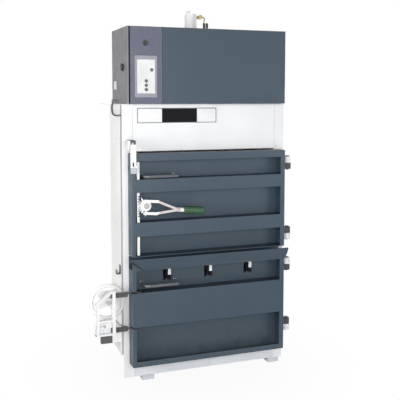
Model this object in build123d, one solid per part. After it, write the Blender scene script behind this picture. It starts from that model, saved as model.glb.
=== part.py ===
from build123d import *

import math
import os

# Vertical baler: a welded baling chamber between two front columns, closed by an upper feed door and a
# lower bale door, with a hydraulic press whose cylinder stands behind a sheet-metal hood.
# Millimetres; X to the right seen from the front, Y to the rear, Z up.
# The origin is on the floor under the cylinder's axis, at the middle of the chamber.

# Chamber and body
chamber_width = 800.0
chamber_depth = 500.0
body_top = 1477.0
column_face = 56.0
portal_depth = 270.0
side_panel_bottom = 145.0
wall_sheet = 4.0
column_sheet = 3.0
deck_sheet = 4.0
groove_setback = 8.0
groove_width = 40.0
groove_depth = 18.0
rib_depth = 22.0
rib_height = 70.0
rib_face_share = 0.6
side_rib_height_shares = (0.22, 0.45, 0.68)
side_rib_length = 145.0
strap_pitch = 233.0
strap_groove_width = 60.0
strap_groove_depth = 20.0
rear_groove_width = 40.0

# Base, floor and feet
foot_height = 36.0
foot_width = 66.0
foot_length = 80.0
foot_wall = 5.0
foot_left_inset = 139.0
foot_right_inset = 39.0
foot_end_inset = 65.0
middle_foot_size = 110.0
anchor_bore = 14.0
base_height = 74.0
base_rail = 60.0
base_sheet = 4.0
base_clearance = 3.0
floor_sheet = 6.0

# Upper front panel and its sign plate
front_panel_height = 241.0
front_panel_return = 25.0
seam = 1.0
sign_inset = 20.0
sign_width_share = 0.545
sign_drop = 17.0
sign_height = 78.0
sign_thickness = 4.0
sign_border = 4.0
sign_corner = 3.0

# Hood
hood_inset = 17.5
hood_overhang = 52.0
hood_rear_reach = 29.0
hood_height = 390.0
hood_sheet = 2.0
hood_bend = 7.0
control_groove = 8.0
control_strip_width = 185.5
cover_return = 52.0
trough_gap = 20.0
control_panel_setback = 3.0
control_panel_return = 49.0
bezel_inset = 38.5
bezel_rise = 33.0
bezel_width = 117.5
bezel_height = 211.0
bezel_thickness = 4.0
bezel_corner = 6.0
bezel_border = 11.5
bezel_border_end = 20.0
membrane_thickness = 2.0
button_diameter = 17.0
button_length = 9.0
button_stand = 2.5
button_clearance = 0.3
button_skirt = 1.5
button_row_inset = 60.0
button_lowest = 39.5
button_pitch = 22.0
button_single_inset = 89.0
button_single_height = 139.5
selector_inset = 57.0
selector_drop = 83.0
selector_diameter = 28.0
selector_collar_height = 4.0
selector_height = 16.0
selector_grip_width = 9.0
selector_shaft = 12.0
selector_shaft_length = 18.0
switch_setback = 66.0
switch_rise = 187.0
switch_base_size = 42.0
switch_base_corner = 8.0
switch_base_thickness = 3.0
switch_dial_diameter = 30.0
switch_dial_height = 4.0
switch_grip_length = 36.0
switch_grip_waist = 9.0
switch_lobe_diameter = 15.0
switch_grip_height = 10.0
switch_shaft = 10.0
switch_shaft_length = 16.0
pivot_clearance = 0.05
side_plate_inset = 74.0
side_plate_rise = 76.0
side_plate_width = 46.0
side_plate_height = 44.0
side_plate_thickness = 3.0

# Crosshead, cylinder and press
crosshead_depth = 220.0
crosshead_height = 133.0
crosshead_wall = 10.0
cylinder_diameter = 68.0
cylinder_bore = 56.0
cylinder_below_deck = 128.0
cylinder_above_hood = 108.0
cylinder_cap = 14.0
cylinder_flange_diameter = 130.0
cylinder_flange_height = 18.0
cylinder_clearance = 0.5
gland_height = 30.0
gland_rim = 6.0
rod_diameter = 36.0
rod_top_gap = 18.0
piston_height = 40.0
running_clearance = 0.05
bleed_boss_diameter = 26.0
bleed_boss_height = 17.0
bleed_boss_offset = 15.0
press_lift = 8.0
press_sheet = 8.0
press_side_clearance = 5.0
press_front_clearance = 7.0
press_beam_height = 60.0
press_beam_width = 60.0
press_beam_wall = 6.0
press_beam_spacing = 300.0
press_boss_diameter = 96.0
press_boss_height = 66.0
press_groove_depth = 16.0

# Power unit under the hood
tank_width = 250.0
tank_depth = 170.0
tank_height = 200.0
tank_front_gap = 60.0
tank_corner = 20.0
tank_cap_diameter = 50.0
tank_cap_height = 20.0
power_gap = 30.0
motor_diameter = 130.0
motor_length = 210.0
motor_gap = 10.0
motor_axis_height = 95.0
motor_foot_width = 120.0
motor_foot_height = 10.0
motor_box_size = 70.0
motor_box_height = 30.0
motor_fin_count = 9
motor_fin_width = 6.0
motor_fin_depth = 5.0
valve_size = 80.0
valve_height = 110.0
valve_inset = 42.5
valve_coil_diameter = 36.0
valve_coil_length = 50.0

# Pressure pipe behind the hood
port_drop = 15.0
port_block = 24.0
port_nose = 34.0
port_nose_share = 0.7
pipe_diameter = 7.0
pipe_run_x = 26.0
pipe_drop_share = 0.667
pipe_bend = 13.0
fitting_diameter = 15.0
fitting_height = 62.0
fitting_stem_length = 20.0
fitting_spacing = 17.0
fitting_inset = 18.0
fitting_stem_share = 0.6

# Control cable along the left side panel, from the hood's gland to the one in the column's groove
cable_diameter = 8.0
cable_gap = 3.0
cable_inset = 106.0
cable_rise = 10.0
cable_sag = 71.0
cable_end_gap = 24.0
cable_forward_shares = (0.0, -0.0738, -0.1208, -0.1275, -0.0805, 0.0201, 0.1678, 0.3758, 0.6711, 1.0)
cable_drop_shares = (0.0, 0.169, 0.3662, 0.5775, 0.7676, 0.9014, 0.9718, 1.0, 1.0, 0.9648)
cable_run_share = 0.45
gland_body = 14.0
gland_length = 14.0
gland_foot_shares = (0.4, 0.9)

# Doors
door_side_lap = 31.5
door_thickness = 76.0
door_gap = 5.0
door_sheet = 4.0
door_bend = 5.0
left_stile = 20.0
right_stile = 27.0
door_top_gap = 7.0
door_split_gap = 6.0
upper_door_height = 529.0
upper_top_flange = 36.0
upper_rib_drop = 130.0
upper_rib_height = 67.0
middle_rib_drop = 351.0
middle_rib_height = 73.0
lower_bottom_flange = 28.0
lower_rib_rise = 212.0
lower_rib_height = 180.0
lip_height = 63.0
lip_lean = 32.0
lip_left_reach = 16.5
lip_right_reach = 8.5
lip_foot_inset = 49.5
lip_rim = 6.0
strap_slot_width = 14.0
strap_slot_drop = 11.0
strap_slot_length = 70.0
strap_slot_offset = -8.0
strap_clip_offset = 18.0
strap_clip_width = 16.0
strap_clip_drop = 9.0
strap_clip_length = 42.0
strap_clip_depth = 14.0
strap_clip_sheet = 4.0
strap_pad_height = 26.0
strap_pad_depth = 16.0
upper_slit_length = 36.0
lower_slit_length = 80.0
slit_height = 8.0

# Door pull handles
handle_inset = 66.5
handle_span = 182.0
handle_reach = 82.0
handle_diameter = 17.0
handle_bend = 20.0
handle_rose_diameter = 26.0
handle_rose_height = 5.0
upper_handle_rise = 14.0
lower_handle_rise = 35.0

# Hinges
hinge_outset = 2.0
hinge_setoff = 45.0
knuckle_diameter = 40.0
hinge_pin_diameter = 16.0
hinge_cap_diameter = 24.0
hinge_cap_height = 5.0
hinge_gap = 0.3
hinge_tail = 5.0
lug_height = 34.0
door_arm_width = 28.0
frame_arm_width = 24.0
upper_hinge_drop = 72.0
upper_hinge_rise = 65.0
lower_hinge_drop = 40.0
lower_hinge_rise = 128.0

# Toothed lock lever and rack bar on the upper door
lever_inset = 77.5
lever_rise = 83.0
gear_module = 4.0
gear_tooth_count = 20
gear_upper_tooth_count = 3
gear_lower_tooth_count = 3
gear_pressure_angle = 20.0
gear_backlash = 0.8
gear_addendum_share = 1.0
gear_dedendum_share = 1.25
lever_root_share = 2.1
lever_sheet = 8.0
lever_plane_gap = 2.0
lever_hub_diameter = 51.0
lever_bolt_diameter = 20.0
lever_bolt_head = 28.0
lever_bolt_head_height = 8.0
lever_boss_diameter = 36.0
lever_stop_radius = 53.0
lever_stop_width = 9.0
lever_stop_angles = (122.0, 264.0)
lever_tilt_angle = 4.5
upper_arm_height = 25.0
upper_arm_length = 68.0
lower_arm_height = -38.0
lower_arm_length = 62.0
arm_width = 14.0
arm_root_share = 0.2
apex_length = 156.0
apex_height = -6.0
apex_reach = 62.0
bent_arm_width = 12.0
bent_arm_thickness = 8.0
collar_diameter = 22.0
collar_length = 24.0
grip_diameter = 40.0
grip_length = 116.0
grip_end = 14.0
grip_tang_diameter = 14.0
grip_tang_share = 0.8
bar_width = 14.0
bar_bottom_gap = 8.0
bar_top_gap = 41.0
bar_clearance = 1.0
rack_gap_count = 9
latch_plate_reach = 6.5
latch_plate_rise = 49.0
latch_plate_width = 29.0
latch_plate_height = 148.0
latch_plate_sheet = 4.0
latch_plate_gap = 1.0
latch_tie_height = 39.0
latch_round_rise = 31.0
latch_round_share = 0.45
latch_tie_clearance = 2.0
latch_travel = 17.0
latch_pin_drop = 12.0
latch_pin_diameter = 10.0
latch_pin_head = 16.0
latch_pin_head_length = 5.0
latch_stud_drop = 43.5
latch_stud_diameter = 6.0
latch_stud_clearance = 0.3
latch_slot_clearance = 1.5
keeper_sheet = 5.0
keeper_rise = 19.0
keeper_height = 47.0
keeper_left_gap = 5.0
keeper_lift_gap = 2.0
keeper_leg_depth = 22.0

# Clamp of the lower door on the left side
clamp_axis_reach = 91.0
clamp_axis_drop = 42.0
clamp_frame_width = 93.0
clamp_frame_gap = 61.0
clamp_frame_below_rib = 26.0
clamp_frame_above_rib = 22.0
clamp_frame_slope = 56.0
clamp_frame_bar = 16.0
clamp_frame_edge = 9.0
clamp_frame_mid_rise = 70.0
clamp_frame_depth = 30.0
clamp_frame_setoff = 49.0
clamp_plate_sheet = 5.0
clamp_plate_slot_width = 46.0
clamp_plate_slot_height = 12.0
clamp_cross_height = 44.0
clamp_travel = 8.0
bolt_height = 24.0
bolt_thickness = 12.0
bolt_tail = 6.0
bolt_tip_gap = 4.0
bolt_tongue_height = 8.0
bolt_tongue_length = 20.0
bolt_clearance = 0.4
bolt_slot_clearance = 2.0
upper_bolt_rise = 3.0
lower_bolt_drop = 4.0
bolt_tongue_lift = 7.0
wheel_setoff = 27.0
wheel_diameter = 186.0
wheel_rim = 18.0
wheel_hub_diameter = 44.0
wheel_hub_length = 24.0
wheel_spoke_width = 16.0
wheel_spoke_thickness = 9.0
wheel_spoke_count = 3
wheel_spoke_angle = 55.0
spindle_diameter = 18.0
spindle_nut_size = 26.0
spindle_nut_height = 9.0
spindle_tail = 30.0
guide_rod_diameter = 14.0
guide_rod_reach = 108.0
guide_rod_rise = 14.0
bracket_setback = 80.0
bracket_arm = 26.0
bracket_plate = 6.0
bracket_plate_length = 130.0
bracket_top_gap = 39.0
bracket_drop = 92.0
bracket_boss_diameter = 52.0
bracket_foot_height = 50.0
bracket_foot_reach = 106.0

# Small hook on the left side panel
hook_setback = 62.0
hook_drop = 45.0
hook_height = 48.0
hook_width = 26.0
hook_sheet = 5.0
hook_reach = 24.0

# One overrun serves all cuts
overrun = 5.0

# Places that follow from the sizes above
half_chamber = chamber_width / 2
wall_outer_x = -(half_chamber + wall_sheet)
half_body = half_chamber + wall_sheet + column_face
front_y = -chamber_depth / 2
back_y = chamber_depth / 2
sheet_top = body_top - deck_sheet
base_top = foot_height + base_height
floor_top = base_top + floor_sheet
wall_front_y = front_y + column_sheet
groove_y0 = front_y + groove_setback
groove_y1 = groove_y0 + groove_width
portal_back_y = front_y + portal_depth
foot_left_x = -half_body + foot_left_inset
foot_right_x = half_body - foot_right_inset
foot_y = back_y - foot_end_inset
strap_xs = (-strap_pitch, 0.0, strap_pitch)

front_panel_bottom = sheet_top - front_panel_height
sign_left_x = -half_chamber + sign_inset
sign_width = chamber_width * sign_width_share
sign_bottom = sheet_top - sign_drop - sign_height

hood_left_x = -half_body + hood_inset
hood_right_x = half_body - hood_inset
hood_front = front_y - hood_overhang
hood_rear = hood_rear_reach
hood_top = body_top + hood_height
cover_left_x = hood_left_x + control_strip_width
trough_half = cylinder_diameter / 2 + trough_gap
control_panel_y = hood_front + control_panel_setback
bezel_left_x = hood_left_x + bezel_inset
bezel_bottom = body_top + bezel_rise
button_row_x = bezel_left_x + button_row_inset
button_row_z = bezel_bottom + button_lowest
button_places = (
    (bezel_left_x + button_single_inset, bezel_bottom + button_single_height),
    (button_row_x, button_row_z + 2 * button_pitch),
    (button_row_x, button_row_z + button_pitch),
    (button_row_x, button_row_z),
)
selector_x = bezel_left_x + selector_inset
selector_z = hood_top - selector_drop
switch_y = hood_front + switch_setback
switch_z = body_top + switch_rise
side_plate_y = hood_rear - side_plate_inset
side_plate_bottom = body_top + side_plate_rise

cylinder_bottom = sheet_top - cylinder_below_deck
cylinder_top = hood_top + cylinder_above_hood
press_bottom = front_panel_bottom + press_lift
rod_bottom = press_bottom + press_groove_depth + press_sheet
valve_left_x = hood_right_x - valve_inset - valve_size
tank_left_x = valve_left_x - power_gap - tank_width
motor_left_x = tank_left_x - motor_gap - motor_length
port_height = cylinder_top - port_drop
fitting_x = cylinder_diameter / 2 + port_nose + pipe_run_x
fitting_y = hood_rear - fitting_inset
cable_x = -half_body - cable_gap - cable_diameter / 2
cable_start_y = hood_rear - cable_inset
cable_start_z = body_top + cable_rise
cable_end_y = groove_y1 - cable_end_gap

door_back = front_y - door_gap
door_front = door_back - door_thickness
door_left_x = -half_chamber - door_side_lap
door_right_x = half_chamber + door_side_lap
door_skin_y = door_back - door_sheet
upper_door_top = front_panel_bottom - door_top_gap
upper_door_bottom = upper_door_top - upper_door_height
upper_rib_top = upper_door_top - upper_rib_drop
middle_rib_top = upper_door_top - middle_rib_drop
upper_ribs = (
    (upper_rib_top - upper_rib_height, upper_rib_top),
    (middle_rib_top - middle_rib_height, middle_rib_top),
)
lower_door_bottom = floor_top
lower_door_top = upper_door_bottom - door_split_gap
lower_door_web = lower_door_top - lip_height
lower_rib_bottom = lower_door_bottom + lower_rib_rise
lower_rib_top = lower_rib_bottom + lower_rib_height
lower_ribs = ((lower_rib_bottom, lower_rib_top),)
lip_left_x = door_left_x - lip_left_reach
lip_right_x = door_right_x + lip_right_reach
lip_foot_left_x = door_left_x + lip_foot_inset
strap_slot_top = lower_door_web - strap_slot_drop
strap_slot_bottom = strap_slot_top - strap_slot_length
strap_clip_top = lower_door_web - strap_clip_drop
strap_clip_bottom = strap_clip_top - strap_clip_length
handle_left_x = door_left_x + handle_inset
upper_handle_z = upper_rib_top + upper_handle_rise
lower_handle_z = lower_rib_top + lower_handle_rise

hinge_x = half_body + hinge_outset
hinge_y = front_y - hinge_setoff
hinge_splits = (
    upper_door_top - upper_hinge_drop, upper_door_bottom + upper_hinge_rise,
    lower_door_web - lower_hinge_drop, lower_door_bottom + lower_hinge_rise,
)
hinge_frame_above = (True, False, True, False)

lever_x = door_left_x + lever_inset
lever_z = middle_rib_top + lever_rise
gear_pitch_radius = gear_module * gear_tooth_count / 2
lever_y0 = door_front + door_sheet + lever_plane_gap
lever_y1 = lever_y0 + lever_sheet
bar_pitch_x = lever_x - gear_pitch_radius
bar_tip_x = bar_pitch_x + gear_module * gear_addendum_share
bar_root_x = bar_pitch_x - gear_module * gear_dedendum_share
bar_left_x = bar_tip_x - bar_width
bar_bottom = upper_door_bottom + bar_bottom_gap
bar_top = upper_door_top - bar_top_gap
latch_plate_left_x = door_left_x - latch_plate_reach
latch_plate_top = upper_door_top + latch_plate_rise
latch_plate_bottom = latch_plate_top - latch_plate_height
latch_tie_top = latch_plate_bottom + latch_tie_height
latch_plate_y1 = door_front - latch_plate_gap
latch_plate_y0 = latch_plate_y1 - latch_plate_sheet
latch_plate_mid_x = latch_plate_left_x + latch_plate_width / 2
latch_pin_z = latch_plate_top - latch_pin_drop
latch_stud_z = upper_door_top - latch_stud_drop
keeper_top = latch_plate_top + keeper_rise
keeper_bottom = keeper_top - keeper_height
keeper_wall_y0 = latch_plate_y1 + latch_plate_sheet
keeper_wall_y1 = keeper_wall_y0 + keeper_sheet

clamp_axis_x = -half_body - clamp_axis_reach
clamp_axis_z = lower_rib_top - clamp_axis_drop
clamp_frame_right_x = -half_body - clamp_frame_gap
clamp_frame_left_x = clamp_frame_right_x - clamp_frame_width
clamp_frame_bottom = lower_rib_bottom - clamp_frame_below_rib
clamp_frame_top = lower_rib_top + clamp_frame_above_rib
clamp_frame_shoulder = clamp_frame_top - clamp_frame_slope
clamp_frame_mid_bottom = clamp_frame_bottom + clamp_frame_mid_rise
clamp_frame_back_y = front_y - clamp_frame_setoff
clamp_frame_front_y = clamp_frame_back_y - clamp_frame_depth
clamp_mid_y = (clamp_frame_back_y + clamp_frame_front_y) / 2
clamp_post_left_x = clamp_frame_right_x - clamp_frame_bar
wheel_y = front_y - wheel_setoff
guide_rod_x = -half_body - guide_rod_reach
guide_rod_z = clamp_frame_bottom + guide_rod_rise
bracket_y = front_y + bracket_setback
bracket_top = clamp_axis_z + bracket_top_gap
bracket_bottom = clamp_frame_bottom - bracket_drop
bracket_foot_left_x = -half_body - bracket_foot_reach
hook_y = front_y + hook_setback
hook_z = lower_door_web - hook_drop


def block(x0, x1, y0, y1, z0, z1):
    """Box between two opposite corners."""
    return Pos((x0 + x1) / 2, (y0 + y1) / 2, (z0 + z1) / 2) * Box(x1 - x0, y1 - y0, z1 - z0)


def plan_prism(points, z0, z1):
    """Outline in plan, raised from z0 to z1."""
    face = make_face(Polyline(*points, close=True))
    return extrude(Pos(0, 0, z0) * face, amount=z1 - z0, dir=(0, 0, 1))


def front_face(points):
    """Face seen from the front, in the plane Y = 0, from points (x, z)."""
    plane = Plane(origin=(0, 0, 0), x_dir=(1, 0, 0), z_dir=(0, -1, 0))
    return plane * make_face(Polyline(*points, close=True))


def front_prism(points, y0, y1):
    """Outline seen from the front, from y0 back to y1."""
    return extrude(Pos(0, y0, 0) * front_face(points), amount=y1 - y0, dir=(0, 1, 0))


def side_prism(points, x0, x1):
    """Outline seen from the side, points (y, z), from x0 to x1."""
    plane = Plane(origin=(x0, 0, 0), x_dir=(0, 1, 0), z_dir=(1, 0, 0))
    return extrude(plane * make_face(Polyline(*points, close=True)), amount=x1 - x0, dir=(1, 0, 0))


def rod_x(y, z, diameter, x0, x1):
    """Round bar along X."""
    return Pos((x0 + x1) / 2, y, z) * Rot(0, 90, 0) * Cylinder(diameter / 2, x1 - x0)


def rod_y(x, z, diameter, y0, y1):
    """Round bar along Y."""
    return Pos(x, (y0 + y1) / 2, z) * Rot(90, 0, 0) * Cylinder(diameter / 2, y1 - y0)


def rod_z(x, y, diameter, z0, z1):
    """Round bar along Z."""
    return Pos(x, y, (z0 + z1) / 2) * Cylinder(diameter / 2, z1 - z0)


def grooved_outline(u0, u1, face, sheet, width, depth):
    """Outline of a sheet with a square groove at each strap, grooves towards the sheet's back."""
    near = [(u0, face)]
    far = [(u0, face + sheet)]
    for middle in strap_xs:
        a = middle - width / 2
        b = middle + width / 2
        near += [(a, face), (a, face + depth), (b, face + depth), (b, face)]
        far += [(a - sheet, face + sheet), (a - sheet, face + depth + sheet),
                (b + sheet, face + depth + sheet), (b + sheet, face + sheet)]
    near.append((u1, face))
    far.append((u1, face + sheet))
    return near + far[::-1]


def mirrored(solid):
    """The same piece on the right-hand side."""
    return mirror(solid, about=Plane.YZ)


nodes = {}


# Base frame: C-section rails, open towards the middle, with a notch where each strap groove passes
def base_frame():
    x1 = half_body - groove_depth - column_sheet - base_clearance
    y0 = wall_front_y
    y1 = back_y
    left_x = foot_left_x - foot_width / 2
    rails = block(left_x, x1, y0, y1, foot_height, base_top)
    rails -= block(left_x + base_rail, x1 - base_rail, y0 + base_rail, y1 - base_rail,
                   foot_height - overrun, base_top + overrun)
    rails += block(-x1, left_x + base_rail, y0, y0 + base_rail, foot_height, base_top)
    rails -= block(left_x + base_sheet, x1 - base_sheet, y0 + base_sheet, y1 - base_sheet,
                   foot_height + base_sheet, base_top - base_sheet)
    rails -= block(-x1 + base_sheet, left_x + base_rail, y0 + base_sheet, y0 + base_rail - base_sheet,
                   foot_height + base_sheet, base_top - base_sheet)
    for middle in strap_xs:
        half = strap_groove_width / 2 + floor_sheet + base_clearance
        depth = strap_groove_depth + floor_sheet + base_clearance
        rails -= block(middle - half, middle + half, y0 - overrun, y1 + overrun,
                       floor_top - depth, base_top + overrun)
    return rails


# Feet: short lengths of box with an open rear end and an anchor hole in the sole, and a square tube with a
# sole under the middle of the floor, which takes the press force
def feet():
    half = middle_foot_size / 2
    middle = block(-half, half, -half, half, 0, floor_top - strap_groove_depth - floor_sheet)
    middle -= block(-half + foot_wall, half - foot_wall, -half + foot_wall, half - foot_wall,
                    foot_wall, floor_top)
    group = [middle]
    for x in (foot_left_x, foot_right_x):
        for y in (-foot_y, foot_y):
            foot = block(x - foot_width / 2, x + foot_width / 2, y - foot_length / 2, y + foot_length / 2,
                         0, foot_height)
            foot -= block(x - foot_width / 2 + foot_wall, x + foot_width / 2 - foot_wall,
                          y - foot_length / 2 + foot_wall, y + foot_length / 2 + overrun,
                          foot_wall, foot_height - foot_wall)
            foot -= rod_z(x, y, anchor_bore, -overrun, foot_wall + overrun)
            group.append(foot)
    return group


# Chamber floor: flat strips with a strap channel welded between each pair
def chamber_floor():
    half = strap_groove_width / 2
    group = []
    left = -half_chamber
    for middle in strap_xs:
        group.append(block(left, middle - half - floor_sheet, wall_front_y, back_y, base_top, floor_top))
        channel = block(middle - half - floor_sheet, middle + half + floor_sheet, wall_front_y, back_y,
                        floor_top - strap_groove_depth - floor_sheet, floor_top)
        channel -= block(middle - half, middle + half, wall_front_y - overrun, back_y + overrun,
                         floor_top - strap_groove_depth, floor_top + overrun)
        group.append(channel)
        left = middle + half + floor_sheet
    group.append(block(left, half_chamber, wall_front_y, back_y, base_top, floor_top))
    return group


# Side wall of the chamber with three pressed stiffeners behind the portal
def side_wall():
    wall = block(wall_outer_x, -half_chamber, wall_front_y, back_y, base_top, sheet_top)
    for share in side_rib_height_shares:
        z = base_top + share * (sheet_top - base_top)
        low = rib_height / 2
        high = low * rib_face_share
        shape = [(wall_outer_x, z - low), (wall_outer_x - rib_depth, z - high),
                 (wall_outer_x - rib_depth, z + high), (wall_outer_x, z + low)]
        face_x = wall_outer_x - rib_depth + wall_sheet
        inner = [(wall_outer_x, z - low + wall_sheet), (face_x, z - high + wall_sheet),
                 (face_x, z + high - wall_sheet), (wall_outer_x, z + low - wall_sheet)]
        wall += front_prism(shape, portal_back_y, portal_back_y + side_rib_length)
        wall -= front_prism(inner, portal_back_y - overrun, portal_back_y + side_rib_length + overrun)
    return wall


def rear_wall():
    outline = grooved_outline(wall_outer_x, -wall_outer_x, back_y, wall_sheet,
                              rear_groove_width, strap_groove_depth)
    return plan_prism(outline, base_top, sheet_top)


# Left front column and side panel: one folded sheet with a groove behind its front face
def column():
    outline = [
        (wall_outer_x, front_y), (-half_body, front_y), (-half_body, groove_y0),
        (-half_body + groove_depth, groove_y0), (-half_body + groove_depth, groove_y1),
        (-half_body, groove_y1), (-half_body, portal_back_y), (wall_outer_x, portal_back_y),
    ]
    face = make_face(Polyline(*outline, close=True))
    section = face - offset(face, amount=-column_sheet, kind=Kind.INTERSECTION)
    sheet = extrude(Pos(0, 0, foot_height) * section, amount=sheet_top - foot_height, dir=(0, 0, 1))
    sheet -= block(wall_outer_x - column_sheet, wall_outer_x + overrun, front_y + column_sheet,
                   portal_back_y - column_sheet, foot_height - overrun, body_top + overrun)
    sheet -= block(-half_body - overrun, wall_outer_x + overrun, groove_y1, portal_back_y + overrun,
                   foot_height - overrun, side_panel_bottom)
    return sheet


# Upper front panel between the columns, folded back along its top
def upper_front_panel():
    shape = [
        (front_y, front_panel_bottom), (front_y, sheet_top), (front_y + front_panel_return, sheet_top),
        (front_y + front_panel_return, sheet_top - column_sheet),
        (front_y + column_sheet, sheet_top - column_sheet),
        (front_y + column_sheet, front_panel_bottom),
    ]
    panel = side_prism(shape, wall_outer_x + seam, -wall_outer_x - seam)
    panel -= block(wall_outer_x - overrun, -half_chamber, wall_front_y, back_y, front_panel_bottom, body_top)
    panel -= block(half_chamber, -wall_outer_x + overrun, wall_front_y, back_y, front_panel_bottom, body_top)
    return panel


# Framed sign plate on the upper front panel, its field a little behind the frame
def sign_plate():
    x1 = sign_left_x + sign_width
    z1 = sign_bottom + sign_height
    plate = block(sign_left_x, x1, front_y - sign_thickness, front_y, sign_bottom, z1)
    plate = fillet(plate.edges().filter_by(Axis.Y), sign_corner)
    return plate - block(sign_left_x + sign_border, x1 - sign_border, front_y - sign_thickness - overrun,
                         front_y - sign_thickness / 2, sign_bottom + sign_border, z1 - sign_border)


def top_deck():
    deck = block(-half_body, half_body, front_y, back_y + wall_sheet, sheet_top, body_top)
    return deck - rod_z(0, 0, cylinder_flange_diameter + overrun, sheet_top - overrun, body_top + overrun)


# Crosshead: a box beam between the chamber walls, bored for the cylinder
def crosshead():
    half = crosshead_depth / 2
    z0 = sheet_top - crosshead_height
    beam = block(-half_chamber, half_chamber, -half, half, z0, sheet_top)
    beam -= block(-half_chamber - overrun, half_chamber + overrun,
                  -half + crosshead_wall, half - crosshead_wall,
                  z0 + crosshead_wall, sheet_top - crosshead_wall)
    return beam - rod_z(0, 0, cylinder_diameter + 2 * cylinder_clearance, z0 - overrun, sheet_top + overrun)


# Press cylinder: turned tube with a closed cap, a fixing flange on the crosshead and a bleed boss
def cylinder_barrel():
    outer = cylinder_diameter / 2
    bore = cylinder_bore / 2
    flange = cylinder_flange_diameter / 2
    flange_top = sheet_top + cylinder_flange_height
    profile = [
        (bore, cylinder_bottom), (outer, cylinder_bottom), (outer, sheet_top), (flange, sheet_top),
        (flange, flange_top), (outer, flange_top), (outer, cylinder_top), (0, cylinder_top),
        (0, cylinder_top - cylinder_cap), (bore, cylinder_top - cylinder_cap),
    ]
    section = Plane.XZ * make_face(Polyline(*profile, close=True))
    barrel = revolve(section, axis=Axis.Z)
    barrel = chamfer(barrel.edges().group_by(Axis.Z)[-1], gland_rim / 2)
    return barrel + rod_z(-bleed_boss_offset, 0, bleed_boss_diameter,
                          cylinder_top - cylinder_cap / 2, cylinder_top + bleed_boss_height)


def cylinder_gland():
    outer = cylinder_diameter / 2
    bore = cylinder_bore / 2
    rod = rod_diameter / 2 + running_clearance
    profile = [
        (rod, cylinder_bottom - gland_rim), (outer, cylinder_bottom - gland_rim), (outer, cylinder_bottom),
        (bore, cylinder_bottom), (bore, cylinder_bottom + gland_height),
        (rod, cylinder_bottom + gland_height),
    ]
    return revolve(Plane.XZ * make_face(Polyline(*profile, close=True)), axis=Axis.Z)


# Piston rod with its piston, fixed in the boss of the press plate
def piston_rod():
    rod = rod_diameter / 2
    piston = cylinder_bore / 2 - running_clearance
    top = cylinder_top - cylinder_cap - rod_top_gap
    profile = [
        (0, rod_bottom), (rod, rod_bottom), (rod, top - piston_height),
        (piston, top - piston_height), (piston, top), (0, top),
    ]
    return revolve(Plane.XZ * make_face(Polyline(*profile, close=True)), axis=Axis.Z)


# Press plate: grooved sheet for the straps, two box beams across it and a boss for the rod
def press_plate():
    x1 = half_chamber - press_side_clearance
    y1 = back_y - press_front_clearance
    outline = grooved_outline(-x1, x1, press_bottom, press_sheet, strap_groove_width, press_groove_depth)
    plate = front_prism(outline, -y1, y1)
    beam_bottom = press_bottom + press_groove_depth + press_sheet
    for y in (-press_beam_spacing / 2, press_beam_spacing / 2):
        half = press_beam_width / 2
        beam = block(-x1, x1, y - half, y + half, press_bottom + press_sheet, beam_bottom + press_beam_height)
        beam -= block(-x1 - overrun, x1 + overrun, y - half + press_beam_wall, y + half - press_beam_wall,
                      beam_bottom, beam_bottom + press_beam_height - press_beam_wall)
        for middle in strap_xs:
            reach = strap_groove_width / 2
            beam -= block(middle - reach, middle + reach, y - half - overrun, y + half + overrun,
                          press_bottom, beam_bottom - press_sheet)
        plate += beam
    boss = rod_z(0, 0, press_boss_diameter, press_bottom + press_sheet, press_bottom + press_boss_height)
    boss -= block(-strap_groove_width / 2, strap_groove_width / 2, -y1, y1,
                  press_bottom, beam_bottom - press_sheet)
    plate += boss
    return plate - rod_z(0, 0, rod_diameter, rod_bottom, press_bottom + 2 * press_boss_height)


# Hood shell: top and two sides in one folded sheet, with a rounded flange at the left front
def hood_block(inset, beyond):
    shell = block(hood_left_x + inset, hood_right_x - inset, hood_front + inset, hood_rear + beyond,
                  body_top - beyond, hood_top - inset)
    radius = hood_bend - inset
    shell = fillet(shell.edges().filter_by(Axis.Z).group_by(Axis.Y)[0], radius)
    return shell


def hood_shell():
    shell = hood_block(0, 0) - hood_block(hood_sheet, overrun)
    flange_x = hood_left_x + hood_bend
    shell -= block(flange_x, hood_right_x + overrun, hood_front - overrun, hood_front + hood_bend,
                   body_top - overrun, hood_top - hood_sheet)
    shell -= block(hood_right_x - hood_bend, hood_right_x + overrun, hood_front - overrun,
                   hood_front + cover_return + seam, body_top - overrun, hood_top - hood_sheet)
    shell -= block(-trough_half, trough_half, -trough_half, hood_rear + overrun,
                   hood_top - hood_sheet - overrun, hood_top + overrun)
    for side in (-1, 1):
        x = side * fitting_spacing / 2 + fitting_x
        shell -= rod_z(x, fitting_y, fitting_diameter * fitting_stem_share + 2 * running_clearance,
                       hood_top - hood_sheet - overrun, hood_top + overrun)
    shell -= rod_x(switch_y, switch_z, switch_shaft + 2 * seam,
                   hood_left_x - overrun, hood_left_x + hood_bend)
    return shell


# Front cover of the hood: a folded tray with returns at both ends
def hood_front_cover():
    z0 = body_top + seam
    z1 = hood_top - hood_sheet
    tray = block(cover_left_x, hood_right_x, hood_front, hood_front + cover_return, z0, z1)
    tray = fillet(tray.edges().filter_by(Axis.Z).group_by(Axis.Y)[0].sort_by(Axis.X)[-1:], hood_bend)
    inner = block(cover_left_x + hood_sheet, hood_right_x - hood_sheet, hood_front + hood_sheet,
                  hood_front + cover_return + overrun, z0 + hood_sheet, z1 - hood_sheet)
    inner = fillet(inner.edges().filter_by(Axis.Z).group_by(Axis.Y)[0].sort_by(Axis.X)[-1:],
                   hood_bend - hood_sheet)
    return tray - inner


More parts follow.
